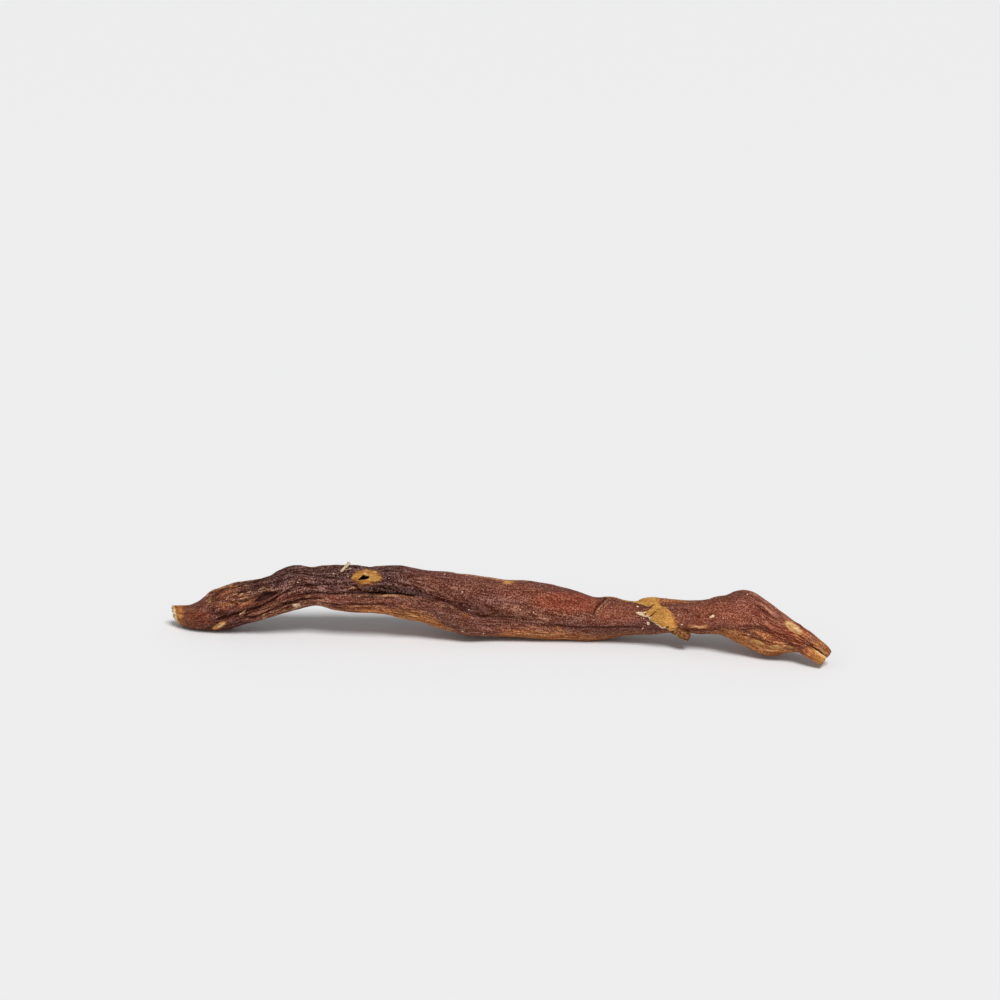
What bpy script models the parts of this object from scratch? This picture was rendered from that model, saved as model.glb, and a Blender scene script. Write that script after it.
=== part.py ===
"""One dried Chinese asparagus root, a single grown piece, lying as it rests on a table.

Frame: metres, +Z up, the surface that it lies on at z = 0, +X along the root to its
pointed end, the best-known side facing -Y.  The origin is the bottom centre of the box.

The root is lofted from cross-sections.  Each section hangs between a point of the upper
edge and a point of the lower edge of the front drawing, and it has a thickness, a depth
behind or before the drawing plane, a lean and a fullness of its own.  The front drawing
is a perspective one: it looks down on the root by TILT from the distance EYE.
"""
import math

import bmesh
import bpy
import numpy as np

MM = 0.001
UNIT = 0.1976               # mm per drawing unit in the drawing plane
TILT = math.radians(20.0)   # how far the front drawing looks down
EYE = 500.0                 # mm from the eye of the drawing to its plane
CENTRE = (500.0, 500.0)     # the drawing's middle, in drawing units
FLOOR = -26.15              # mm, height of the table in the drawing's own frame
ORIGIN = (-0.99, -11.52)    # mm, middle of the root's box in the drawing's own frame

SECTIONS = 100              # cross-sections from end to end
AROUND = 32                 # points round each cross-section

# Edges of the front drawing, in drawing units with y down.  Every row is one section:
# x and y of its upper end, x and y of its lower end.
EDGES = [
    (173.0, 605.8, 177.0, 622.8), (177.5, 605.2, 183.0, 627.2), (184.0, 604.9, 191.5, 629.4),
    (192.0, 603.5, 201.0, 630.2), (199.5, 600.6, 210.5, 630.5), (206.5, 594.3, 220.0, 630.4),
    (214.0, 589.4, 229.5, 629.1), (223.5, 585.6, 239.0, 626.4), (234.0, 582.8, 249.0, 623.6),
    (245.5, 580.5, 259.0, 620.8), (257.0, 578.3, 269.0, 618.1), (267.5, 576.0, 279.0, 615.2),
    (277.0, 570.8, 288.5, 612.2), (286.5, 566.4, 298.0, 609.8), (297.0, 565.0, 307.0, 607.6),
    (309.0, 566.7, 316.0, 606.2), (321.0, 565.7, 325.0, 607.4), (333.5, 564.9, 336.0, 609.8),
    (346.5, 564.8, 348.0, 611.8), (360.0, 565.6, 360.5, 612.7), (373.0, 566.6, 372.5, 612.9),
    (386.0, 565.2, 384.0, 614.3), (400.0, 565.2, 396.0, 617.4), (414.5, 566.8, 408.5, 619.8),
    (429.0, 569.6, 421.0, 622.4), (443.5, 571.8, 434.0, 626.9), (458.5, 573.0, 448.0, 631.0),
    (474.0, 574.5, 462.5, 635.2), (490.0, 576.4, 480.0, 636.3), (506.5, 578.6, 499.0, 636.6),
    (523.5, 579.9, 518.0, 637.8), (540.0, 582.0, 536.0, 639.0), (556.5, 585.2, 553.0, 639.5),
    (572.5, 589.0, 569.0, 640.0), (588.0, 594.4, 585.0, 640.7), (602.0, 597.0, 599.5, 640.1),
    (615.0, 597.8, 613.5, 637.9), (627.5, 599.8, 627.0, 635.6), (638.0, 600.2, 639.0, 634.9),
    (646.5, 597.7, 649.0, 634.6), (657.0, 597.6, 660.0, 633.9), (669.0, 599.4, 672.0, 633.2),
    (682.0, 600.5, 684.5, 633.4), (695.0, 600.3, 696.5, 633.9), (708.0, 598.4, 707.5, 634.6),
    (720.5, 595.3, 716.5, 635.3), (732.0, 591.7, 724.5, 637.6), (743.0, 589.8, 732.5, 641.0),
    (753.0, 592.8, 741.0, 645.4), (762.0, 598.2, 750.0, 650.0), (771.0, 604.6, 759.5, 653.4),
    (780.5, 611.3, 769.5, 655.4), (790.5, 617.4, 780.0, 655.2), (800.0, 624.2, 790.0, 653.2),
    (808.5, 631.6, 799.0, 653.6), (816.5, 637.2, 808.0, 655.4), (823.5, 643.0, 816.0, 656.6),
    (829.0, 648.4, 822.5, 656.9),
]

# Tables along the root: (x in drawing units, value).  Half the thickness front to back in mm.
THICKNESS = [(175, 1.2), (184, 2.2), (200, 3.0), (230, 3.4), (300, 3.5), (400, 3.8), (480, 4.2), (560, 4.3),
             (600, 3.9), (650, 3.3), (700, 3.3), (750, 3.8), (775, 3.3), (800, 2.3), (815, 1.6), (829, 0.9)]
# How far the middle of the section lies behind the drawing plane, in mm.
DEPTH = [(175, 6.3), (200, 5.2), (225, 4.2), (260, 3.0), (320, 2.0), (400, 1.6), (480, 1.1), (540, 0.7), (590, 0.2),
         (640, -1.2), (700, -3.8), (750, -6.6), (775, -8.2), (800, -10.2), (829, -12.4)]
# How far the upper end of the section leans back, as a slope.
LEAN = [(175, -0.05), (230, 0.0), (300, 0.2), (480, 0.2), (560, 0.05), (600, 0.0), (650, 0.15), (830, 0.25)]
# Fullness of the section: 2 is an ellipse, more is boxier.
FULLNESS = [(175, 2.3), (300, 2.5), (480, 2.3), (600, 2.2), (700, 2.3), (830, 2.2)]

# Long folds of the dried skin on the front: points in drawing units, half-width there, depth in mm.
FOLDS = [
    ([(222, 617), (242, 611.7), (260, 606.3), (276, 597.5), (295, 589)], 4.0, 0.55),
    ([(345, 591), (364, 592.8), (385, 593.5), (406, 594.8), (430, 599), (455, 606), (480, 611)], 4.5, 1.05),
    ([(430, 600), (460, 610.4), (490, 616.5), (520, 617.5), (548, 624), (580, 627.5), (615, 627.8)], 4.0, 0.5),
    ([(405, 584), (430, 588), (450, 594)], 6.5, 0.5),
    ([(690, 628), (707, 628.3), (730, 629), (750, 626.5), (773, 631.5), (795, 640.5)], 4.0, 0.55),
    ([(754, 604.6), (769, 613.8), (786, 626.2)], 4.0, 0.3),
]
# The fold that runs along the hidden back: height on the section from -1 to 1, half-width, depth in mm.
BACK_FOLDS = [
    ([(215, 0.2), (300, 0.35), (390, 0.1), (470, 0.3)], 0.22, 0.8),
    ([(360, -0.5), (450, -0.35), (560, -0.15), (640, -0.3)], 0.2, 0.7),
    ([(560, 0.45), (640, 0.3), (720, 0.2), (780, 0.3)], 0.2, 0.6),
]
KNOT = (367.0, 577.5, 15.0, 8.0, 0.35)      # x, y, half-length, half-height, how far it swells in mm
SCAR = (637.0, 662.0, 0.45)                 # the healed break: from x, to x, the step there in mm

# The broken rootlet under the waist and the bare core at the pointed end, as tapering pegs:
# (x, y, depth in mm, radius in drawing units) along each, and the flattening front to back.
ROOTLET = ([(680.0, 625.0, -4.0, 9.0), (681.0, 630.5, -4.9, 9.6), (682.5, 634.5, -5.3, 8.6),
            (684.5, 638.0, -5.6, 5.6), (686.2, 640.7, -5.8, 3.0)], 0.8)
CORE = ([(793.0, 644.5, -9.6, 4.2), (803.0, 650.2, -10.6, 5.2), (812.0, 655.4, -11.6, 4.9),
         (819.0, 659.4, -12.4, 4.6), (823.6, 662.2, -12.9, 4.4)], 0.92)


def along(table, x):
    """A smooth curve through the pairs of a table, with no overshoot between them."""
    xs = np.array([p[0] for p in table], float)
    ys = np.array([p[1] for p in table], float)
    step = np.diff(xs)
    rise = np.diff(ys) / step
    slope = np.empty_like(ys)
    slope[0], slope[-1] = rise[0], rise[-1]
    for i in range(1, len(ys) - 1):
        a, b = rise[i - 1], rise[i]
        slope[i] = 2.0 * a * b / (a + b) if a * b > 0.0 else 0.0
    x = np.clip(np.asarray(x, float), xs[0], xs[-1])
    i = np.clip(np.searchsorted(xs, x, side="right") - 1, 0, len(xs) - 2)
    t = (x - xs[i]) / step[i]
    return ((2 * t**3 - 3 * t**2 + 1) * ys[i] + (t**3 - 2 * t**2 + t) * step[i] * slope[i]
            + (3 * t**2 - 2 * t**3) * ys[i + 1] + (t**3 - t**2) * step[i] * slope[i + 1])


def edge_points(count):
    """Upper and lower edge points at even station numbers, on a smooth curve through EDGES."""
    pts = np.array(EDGES)
    ext = np.vstack([2 * pts[0] - pts[1], pts, 2 * pts[-1] - pts[-2]])
    s = np.linspace(0.0, len(pts) - 1.0, count)
    i = np.clip(np.floor(s).astype(int), 0, len(pts) - 2)
    t = (s - i)[:, None]
    a, b, c, d = ext[i], ext[i + 1], ext[i + 2], ext[i + 3]
    return 0.5 * (2 * b + (c - a) * t + (2 * a - 5 * b + 4 * c - d) * t**2 + (3 * b - a - 3 * c + d) * t**3)


def distance_to(line, x, y):
    """Distance from each point to a polyline, and how far along it the nearest point lies, 0 to 1."""
    best = np.full(x.shape, 1e9)
    part = np.zeros(x.shape)
    pieces = len(line) - 1
    for k in range(pieces):
        (ax, ay), (bx, by) = line[k], line[k + 1]
        ux, uy = bx - ax, by - ay
        t = np.clip(((x - ax) * ux + (y - ay) * uy) / (ux * ux + uy * uy), 0.0, 1.0)
        d = np.hypot(x - ax - t * ux, y - ay - t * uy)
        near = d < best
        best = np.where(near, d, best)
        part = np.where(near, (k + t) / pieces, part)
    return best, part


def to_frame(x, y, depth):
    """A point of the drawing at a depth behind its plane, as a point of the model in mm."""
    across = (x - CENTRE[0]) * UNIT * (EYE + depth) / EYE
    up = -(y - CENTRE[1]) * UNIT * (EYE + depth) / EYE
    return np.stack([across - ORIGIN[0],
                     depth * math.cos(TILT) + up * math.sin(TILT) - ORIGIN[1],
                     up * math.cos(TILT) - depth * math.sin(TILT) - FLOOR], axis=-1)


def body_rings():
    """The cross-sections of the root, in mm, an array of SECTIONS by AROUND points."""
    e = edge_points(SECTIONS)
    mid_x, mid_y = (e[:, 0] + e[:, 2]) / 2, (e[:, 1] + e[:, 3]) / 2
    half_x, half_y = (e[:, 0] - e[:, 2]) / 2, (e[:, 1] - e[:, 3]) / 2
    half = np.hypot(half_x, half_y)[:, None] * UNIT
    turn = np.arange(AROUND) * (2.0 * math.pi / AROUND)        # 0 faces the front, a quarter turn is the top
    power = 2.0 / along(FULLNESS, mid_x)[:, None]
    height = np.sign(np.sin(turn)) * np.abs(np.sin(turn)) ** power
    back = -np.sign(np.cos(turn)) * np.abs(np.cos(turn)) ** power
    x = mid_x[:, None] + height * half_x[:, None]
    y = mid_y[:, None] + height * half_y[:, None]
    depth = (along(DEPTH, mid_x)[:, None] + back * along(THICKNESS, mid_x)[:, None]
             + along(LEAN, mid_x)[:, None] * height * half)

    inside = np.clip(1.0 - height**4, 0.0, 1.0)               # folds fade out at the two edges
    front = np.where(back < 0.0, inside, 0.0)
    rear = np.where(back > 0.0, inside, 0.0)
    for line, width, deep in FOLDS:
        d, part = distance_to(line, x, y)
        ends = np.clip(np.minimum(part, 1.0 - part) * 8.0, 0.0, 1.0)
        depth = depth + front * ends * deep * np.exp(-(d / width) ** 2)
    for line, width, deep in BACK_FOLDS:
        d, part = distance_to([(a / 60.0, b) for a, b in line], x / 60.0, height)
        ends = np.clip(np.minimum(part, 1.0 - part) * 8.0, 0.0, 1.0)
        depth = depth - rear * ends * deep * np.exp(-(d / width) ** 2)
    kx, ky, kl, kh, swell = KNOT
    depth = depth - front * swell * np.exp(-((x - kx) / kl) ** 2 - ((y - ky) / kh) ** 2)
    first, last, step = SCAR
    ramp = np.clip((x - first) / 8.0, 0.0, 1.0) * np.clip((last - x) / 14.0, 0.0, 1.0)
    depth = depth - front * step * ramp

    rings = to_frame(x, y, depth)
    rings[..., 2] = np.maximum(rings[..., 2], 0.0)            # flat where it rests
    return rings


def loft(name, rings, tips):
    """A closed mesh through rings of equal size, closed at each end by a fan round a tip point."""
    bm = bmesh.new()
    loops = [[bm.verts.new(p * MM) for p in ring] for ring in rings]
    count = len(loops[0])
    for a, b in zip(loops, loops[1:]):
        for k in range(count):
            n = (k + 1) % count
            bm.faces.new((a[k], b[k], b[n], a[n]))
    first, last = bm.verts.new(tips[0] * MM), bm.verts.new(tips[1] * MM)
    for k in range(count):
        n = (k + 1) % count
        bm.faces.new((first, loops[0][k], loops[0][n]))
        bm.faces.new((last, loops[-1][n], loops[-1][k]))
    bmesh.ops.recalc_face_normals(bm, faces=bm.faces)
    bmesh.ops.triangulate(bm, faces=bm.faces, quad_method="BEAUTY")
    mesh = bpy.data.meshes.new(name)
    bm.to_mesh(mesh)
    bm.free()
    mesh.shade_smooth()
    obj = bpy.data.objects.new(name, mesh)
    bpy.context.collection.objects.link(obj)
    return obj


def peg_rings(peg, flat, count):
    """Rings round the middle line of a peg given in drawing units, square to that line."""
    points = np.array([to_frame(x, y, depth) for x, y, depth, _ in peg])
    radii = [r * UNIT for _, _, _, r in peg]
    away = np.array([0.0, math.cos(TILT), -math.sin(TILT)])
    rings = []
    for i, (point, radius) in enumerate(zip(points, radii)):
        way = points[min(i + 1, len(points) - 1)] - points[max(i - 1, 0)]
        way = way / np.linalg.norm(way)
        side = np.cross(way, away)
        side = side / np.linalg.norm(side)
        rear = np.cross(side, way)
        turn = np.arange(count) * (2.0 * math.pi / count)
        rings.append(point + radius * (np.cos(turn)[:, None] * side + flat * np.sin(turn)[:, None] * rear))
    return rings, points


def skin_material():
    """Dark reddish-brown dried skin, half matt."""
    mat = bpy.data.materials.new("dried_skin")
    mat.use_nodes = True
    shader = mat.node_tree.nodes["Principled BSDF"]
    shader.inputs["Base Color"].default_value = (0.115, 0.037, 0.022, 1.0)
    shader.inputs["Roughness"].default_value = 0.5
    shader.inputs["Metallic"].default_value = 0.0
    return mat


def main():
    for obj in list(bpy.data.objects):
        bpy.data.objects.remove(obj, do_unlink=True)

    rings = body_rings()
    left = rings[0].mean(axis=0) + np.array([-0.3, 0.0, 0.0])
    right = rings[-1].mean(axis=0) + np.array([0.35, -0.1, -0.25])
    root = loft("asparagus_root", rings, (left, right))
    root.data.materials.append(skin_material())

    # The rootlet stump and the bare core grow out of the root, so they are joined to it.
    for name, (peg, flat), count in (("rootlet_stump", ROOTLET, 12), ("core_stub", CORE, 12)):
        peg_loops, points = peg_rings(peg, flat, count)
        piece = loft(name, peg_loops, (points[0], points[-1]))
        piece.hide_render = True
        piece.display_type = "WIRE"
        join = root.modifiers.new(name, "BOOLEAN")
        join.operation = "UNION"
        join.solver = "EXACT"
        join.object = piece


main()
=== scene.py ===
import math

import bmesh
import bpy
import numpy as np
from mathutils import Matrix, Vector
from mathutils.bvhtree import BVHTree
from mathutils.geometry import delaunay_2d_cdt


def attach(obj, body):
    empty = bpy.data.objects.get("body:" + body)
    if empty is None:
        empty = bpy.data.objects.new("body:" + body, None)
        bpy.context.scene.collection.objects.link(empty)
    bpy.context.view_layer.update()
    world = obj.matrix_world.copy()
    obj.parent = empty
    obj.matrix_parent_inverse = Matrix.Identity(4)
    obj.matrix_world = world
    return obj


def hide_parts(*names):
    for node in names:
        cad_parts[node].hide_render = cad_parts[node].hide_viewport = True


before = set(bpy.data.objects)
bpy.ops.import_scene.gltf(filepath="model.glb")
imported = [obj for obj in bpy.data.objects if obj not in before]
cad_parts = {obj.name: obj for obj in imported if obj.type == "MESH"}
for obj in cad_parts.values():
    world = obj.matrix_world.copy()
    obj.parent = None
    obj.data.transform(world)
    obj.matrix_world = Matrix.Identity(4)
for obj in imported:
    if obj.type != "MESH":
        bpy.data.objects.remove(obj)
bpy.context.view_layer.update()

# ---------------------------------------------------------------------------------------
# The drawing frame, the same as the one that the CAD part is built in.
# ---------------------------------------------------------------------------------------
MM = 0.001
UNIT = 0.1976               # mm per drawing unit in the drawing plane
TILT = math.radians(20.0)   # how far the front drawing looks down
EYE = 500.0                 # mm from the eye of the drawing to its plane
CENTRE = (500.0, 500.0)
FLOOR = -26.15
ORIGIN = (-0.99, -11.52)
AWAY = np.array([0.0, math.cos(TILT), -math.sin(TILT)])     # straight into the drawing

RINGS = 583                 # cross-sections of the skin mesh from end to end
FRONT, REAR = 104, 64       # points round each cross-section, before and behind its edges


def to_frame(x, y, depth):
    """A point of the drawing at a depth behind its plane, as a point of the model in mm."""
    across = (x - CENTRE[0]) * UNIT * (EYE + depth) / EYE
    up = -(y - CENTRE[1]) * UNIT * (EYE + depth) / EYE
    return np.stack([across - ORIGIN[0],
                     depth * math.cos(TILT) + up * math.sin(TILT) - ORIGIN[1],
                     up * math.cos(TILT) - depth * math.sin(TILT) - FLOOR], axis=-1)


# ---------------------------------------------------------------------------------------
# The root's drawing: edges, sections, thickness.
# ---------------------------------------------------------------------------------------
TOP = [(172.8, 605.4), (178, 605.2), (185, 605.1), (190, 604.6), (195.8, 602.3), (200, 599.9), (205, 595.8), (210, 591.4),
       (216.7, 588.6), (223.3, 586.1), (230, 583.9), (235.8, 582.3), (240, 581.5), (248.3, 580.4), (256.7, 579), (265, 577.1),
       (270.8, 575), (275.5, 571.8), (282, 568.8), (286, 567), (290, 565.8), (294.2, 564.9), (300, 564.8), (305, 565.8),
       (310.8, 566.8), (316.7, 566.3), (321.7, 565.4), (330, 565), (336.7, 564.6), (343.3, 564.8), (350, 564.8), (356.7, 565),
       (363.3, 566), (370, 566.8), (375, 566.3), (380.8, 565.7), (390, 565.2), (400, 565.2), (408, 566.5), (416, 568.2),
       (425, 569.8), (435, 570.8), (445, 571.3), (450, 571.8), (460, 573.6), (470, 574.3), (480, 575.8), (490, 577.1),
       (500, 578.8), (510, 579.8), (520, 579.9), (530, 580.6), (540, 582.3), (550, 583.8), (560, 586.3), (570, 588.8),
       (580, 591.8), (590, 595.6), (595.8, 597), (600, 597.1), (605, 596.5), (610, 596.5), (615, 597.1), (620, 598.8),
       (625, 600), (630, 600.8), (635, 601), (639, 600.4), (641.5, 598.7), (645, 597.8), (650, 597.2), (655, 597),
       (660, 597.9), (665, 598.2), (670.7, 598.9), (680, 599.6), (690, 600.1), (700, 600), (705.7, 599.4), (710, 598.4),
       (713.6, 596.9), (720, 595.7), (725, 595.1), (729.6, 593.5), (733.5, 591.5), (740, 590), (743.5, 589.7), (750.4, 590.8),
       (755.8, 593.1), (760, 595.8), (765, 599.2), (770, 602.7), (774.2, 605.8), (780, 610.4), (785, 613.8), (790, 617.7),
       (794.2, 620.8), (800, 624.2), (804.2, 627.7), (810, 631.5), (815, 635.4), (820, 639.6), (824.2, 643.1), (828, 646.4),
       (830.4, 649.4), (831.3, 651.0)]
BOTTOM = [(173.2, 614.5), (175, 618.6), (177.9, 622.9), (181, 624.8), (185, 626.2), (190, 628.3), (198.3, 629.8), (210, 630.3),
          (215, 630.4), (223.3, 629.7), (230, 629.2), (235.8, 627.2), (240, 625.9), (248.3, 623.3), (255, 622), (260, 620.8),
          (265, 619.2), (273.3, 616.7), (281.7, 614), (290, 611.6), (295, 610.1), (300, 609), (305, 607.7), (310, 606.4),
          (315, 605.6), (320, 606), (325, 607.3), (330, 609), (335, 610.2), (340, 611), (350, 612.2), (360, 612.7),
          (370, 612.8), (380, 613.9), (390, 615.4), (395, 617), (400, 618.5), (410, 620.4), (420, 622.1), (425, 623.4),
          (430, 625.4), (435, 627.1), (440, 628.8), (445, 630), (450, 631.3), (455, 632.6), (460, 634.2), (464, 635.4),
          (470.8, 636.1), (480, 636.4), (490, 636.5), (500, 636.8), (510, 637.2), (520, 637.6), (530, 638.6), (540, 639.5),
          (550, 639.8), (560, 639.9), (570, 640.1), (580, 640.9), (586.7, 641.2), (593.3, 640.8), (600, 640.1), (608.3, 639),
          (615, 637.6), (620, 636.4), (630, 635.3), (640, 634.8), (650, 634.6), (656.4, 634.2), (660.7, 633.6), (665.7, 633),
          (671, 632.8), (680, 633), (690, 633.2), (700, 634.2), (710, 634.3), (720, 634.6), (725, 636.4), (730, 638.9),
          (735, 641.7), (740, 644.2), (745, 646.6), (750, 649.2), (755, 651.5), (760, 653.8), (765, 655.4), (770, 656.1),
          (775, 655.9), (780, 655), (785, 653.5), (790, 652.7), (795, 652.3), (800, 652.8), (805, 654.6), (810, 655.8),
          (816, 656.4), (822, 657.2), (826.8, 657.6)]
# Where each cross-section meets the two edges: x on the upper one, x on the lower one.
SLANT = [(172.8, 175.5), (177.5, 183), (184, 191.5), (192, 201), (199.5, 210.5), (206.5, 220), (214, 229.5), (223.5, 239),
         (234, 249), (245.5, 259), (257, 269), (267.5, 279), (277, 288.5), (286.5, 298), (297, 307), (309, 316), (321, 325),
         (333.5, 336), (346.5, 348), (360, 360.5), (373, 372.5), (386, 384), (400, 396), (414.5, 408.5), (429, 421),
         (443.5, 434), (458.5, 448), (474, 462.5), (490, 480), (506.5, 499), (523.5, 518), (540, 536), (556.5, 553),
         (572.5, 569), (588, 585), (602, 599.5), (615, 613.5), (627.5, 627), (638, 639), (646.5, 649), (657, 660), (669, 672),
         (682, 684.5), (695, 696.5), (708, 707.5), (720.5, 716.5), (732, 724.5), (743, 732.5), (753, 741), (762, 750),
         (771, 759.5), (780.5, 769.5), (790.5, 780), (800, 790), (808.5, 799), (816.5, 808), (823.5, 816), (829, 822.5),
         (831.2, 826.6)]
THICKNESS = [(174, 1.1), (184, 2.2), (200, 3.0), (230, 3.4), (300, 3.5), (400, 3.8), (480, 4.2), (560, 4.3),
             (600, 3.9), (650, 3.3), (700, 3.3), (750, 3.8), (775, 3.3), (800, 2.3), (815, 1.6), (829, 0.8)]
DEPTH = [(175, 6.3), (200, 5.2), (225, 4.2), (260, 3.0), (320, 2.0), (400, 1.6), (480, 1.1), (540, 0.7), (590, 0.2),
         (640, -1.2), (700, -3.8), (750, -6.6), (775, -8.2), (800, -10.2), (829, -12.4)]
LEAN = [(175, -0.05), (230, 0.0), (300, 0.2), (480, 0.2), (560, 0.05), (600, 0.0), (650, 0.15), (830, 0.25)]
FULLNESS = [(175, 2.3), (300, 2.5), (480, 2.3), (600, 2.2), (700, 2.3), (830, 2.2)]


def along(table, x):
    """A smooth curve through the pairs of a table, with no overshoot between them."""
    xs = np.array([p[0] for p in table], float)
    ys = np.array([p[1] for p in table], float)
    step = np.diff(xs)
    rise = np.diff(ys) / step
    slope = np.empty_like(ys)
    slope[0], slope[-1] = rise[0], rise[-1]
    for i in range(1, len(ys) - 1):
        a, b = rise[i - 1], rise[i]
        slope[i] = 2.0 * a * b / (a + b) if a * b > 0.0 else 0.0
    x = np.clip(np.asarray(x, float), xs[0], xs[-1])
    i = np.clip(np.searchsorted(xs, x, side="right") - 1, 0, len(xs) - 2)
    t = (x - xs[i]) / step[i]
    return ((2 * t**3 - 3 * t**2 + 1) * ys[i] + (t**3 - 2 * t**2 + t) * step[i] * slope[i]
            + (3 * t**2 - 2 * t**3) * ys[i + 1] + (t**3 - t**2) * step[i] * slope[i + 1])


def through(points, s):
    """A Catmull-Rom curve through points at whole numbers of s."""
    pts = np.array(points, float)
    ext = np.vstack([2 * pts[0] - pts[1], pts, 2 * pts[-1] - pts[-2]])
    s = np.clip(np.asarray(s, float), 0.0, len(pts) - 1.0)
    i = np.clip(np.floor(s).astype(int), 0, len(pts) - 2)
    t = (s - i)[..., None]
    a, b, c, d = ext[i], ext[i + 1], ext[i + 2], ext[i + 3]
    return 0.5 * (2 * b + (c - a) * t + (2 * a - 5 * b + 4 * c - d) * t**2 + (3 * b - a - 3 * c + d) * t**3)


def step01(x, low, high):
    """0 below low, 1 above high, smooth between."""
    t = np.clip((x - low) / (high - low), 0.0, 1.0)
    return t * t * (3.0 - 2.0 * t)


def band(x, a, b, c, d):
    """0 before a, 1 from b to c, 0 after d, smooth between."""
    return step01(x, a, b) * (1.0 - step01(x, c, d))


# ---------------------------------------------------------------------------------------
# Seeded gradient noise.
# ---------------------------------------------------------------------------------------
_rng = np.random.RandomState(41)
_perm = np.tile(_rng.permutation(256), 3)
_grad = _rng.normal(size=(256, 3))
_grad /= np.linalg.norm(_grad, axis=1)[:, None]


def noise(x, y, z, seed=0):
    """Gradient noise, roughly -1 to 1."""
    x, y, z = np.broadcast_arrays(np.asarray(x, float) + 17.3 * seed, np.asarray(y, float) - 9.1 * seed, np.asarray(z, float) + 5.7 * seed)
    xi, yi, zi = np.floor(x).astype(int), np.floor(y).astype(int), np.floor(z).astype(int)
    xf, yf, zf = x - xi, y - yi, z - zi
    fx, fy, fz = (t * t * t * (t * (t * 6 - 15) + 10) for t in (xf, yf, zf))
    total = 0.0
    for dx in (0, 1):
        wx = fx if dx else 1 - fx
        for dy in (0, 1):
            wy = fy if dy else 1 - fy
            for dz in (0, 1):
                wz = fz if dz else 1 - fz
                g = _grad[_perm[_perm[_perm[(xi + dx) & 255] + ((yi + dy) & 255)] + ((zi + dz) & 255)]]
                total = total + wx * wy * wz * (g[..., 0] * (xf - dx) + g[..., 1] * (yf - dy) + g[..., 2] * (zf - dz))
    return total * 1.55


def creases(n, sharp=0.18):
    """Narrow creases, 0 to 1, where a noise passes through zero."""
    return np.exp(-(n / sharp) ** 2)


# ---------------------------------------------------------------------------------------
# Lines and patches in the drawing.
# ---------------------------------------------------------------------------------------
def line_field(line, x, y):
    """Signed distance to a line (positive below it), and the part of its length reached, 0 to 1."""
    best = np.full(x.shape, 1e9)
    sign = np.ones(x.shape)
    part = np.zeros(x.shape)
    ends = np.concatenate([[0.0], np.cumsum([math.hypot(b[0] - a[0], b[1] - a[1]) for a, b in zip(line, line[1:])])])
    for k, ((ax, ay), (bx, by)) in enumerate(zip(line, line[1:])):
        ux, uy = bx - ax, by - ay
        t = np.clip(((x - ax) * ux + (y - ay) * uy) / (ux * ux + uy * uy), 0.0, 1.0)
        d = np.hypot(x - ax - t * ux, y - ay - t * uy)
        near = d < best
        best = np.where(near, d, best)
        side = ux * (y - ay) - uy * (x - ax)
        sign = np.where(near, np.where(side >= 0, 1.0, -1.0), sign)
        part = np.where(near, (ends[k] + t * (ends[k + 1] - ends[k])) / ends[-1], part)
    return best * sign, part


def patch_field(poly, x, y):
    """Signed distance to a closed outline, positive inside."""
    best = np.full(x.shape, 1e9)
    inside = np.zeros(x.shape, bool)
    for (ax, ay), (bx, by) in zip(poly, poly[1:] + poly[:1]):
        ux, uy = bx - ax, by - ay
        t = np.clip(((x - ax) * ux + (y - ay) * uy) / (ux * ux + uy * uy + 1e-12), 0.0, 1.0)
        best = np.minimum(best, np.hypot(x - ax - t * ux, y - ay - t * uy))
        cross = (ay > y) != (by > y)
        with np.errstate(divide="ignore", invalid="ignore"):
            at = (bx - ax) * (y - ay) / (by - ay + 1e-12) + ax
        inside ^= cross & (x < at)
    return np.where(inside, best, -best)


def blob(x, y, cx, cy, rx, ry, turn=0.0):
    """1 in the middle of an ellipse, 0 outside; turn is in degrees, positive turns it clockwise on the drawing."""
    c, s = math.cos(math.radians(turn)), math.sin(math.radians(turn))
    u, v = (x - cx) * c + (y - cy) * s, -(x - cx) * s + (y - cy) * c
    return (u / rx) ** 2 + (v / ry) ** 2


# ---------------------------------------------------------------------------------------
# The root's skin, as a grid of rings.
# ---------------------------------------------------------------------------------------
def station_numbers():
    """Ring positions along SLANT, closer together where the root has small features."""
    fine = np.linspace(0.0, len(SLANT) - 1.0, 6000)
    ends = through(SLANT, fine)
    mid = ends.mean(axis=1)
    run = np.abs(np.gradient(mid))
    want = (1.0 + 1.3 * band(mid, 628, 636, 678, 690) + 0.7 * band(mid, 345, 352, 386, 392)
            + 1.2 * (1 - step01(mid, 176, 190)) + 0.9 * step01(mid, 800, 822) + 0.25 * band(mid, 200, 215, 340, 420))
    total = np.concatenate([[0.0], np.cumsum((run * want)[1:])])
    return np.interp(np.linspace(0.0, total[-1], RINGS), total, fine)


def turns():
    """Angles round a section, even by arc length on the front and, more coarsely, on the rear. 0 faces the front."""
    def even(a0, a1, count):
        t = np.linspace(a0, a1, 4001)
        p = 2.0 / 2.35
        h = np.sign(np.sin(t)) * np.abs(np.sin(t)) ** p
        b = np.sign(np.cos(t)) * np.abs(np.cos(t)) ** p * 0.8
        run = np.concatenate([[0.0], np.cumsum(np.hypot(np.diff(h), np.diff(b)))])
        return np.interp(np.linspace(0.0, run[-1], count + 1), run, t)[:-1]
    return np.concatenate([even(-math.pi / 2, math.pi / 2, FRONT), even(math.pi / 2, 1.5 * math.pi, REAR)])


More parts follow.
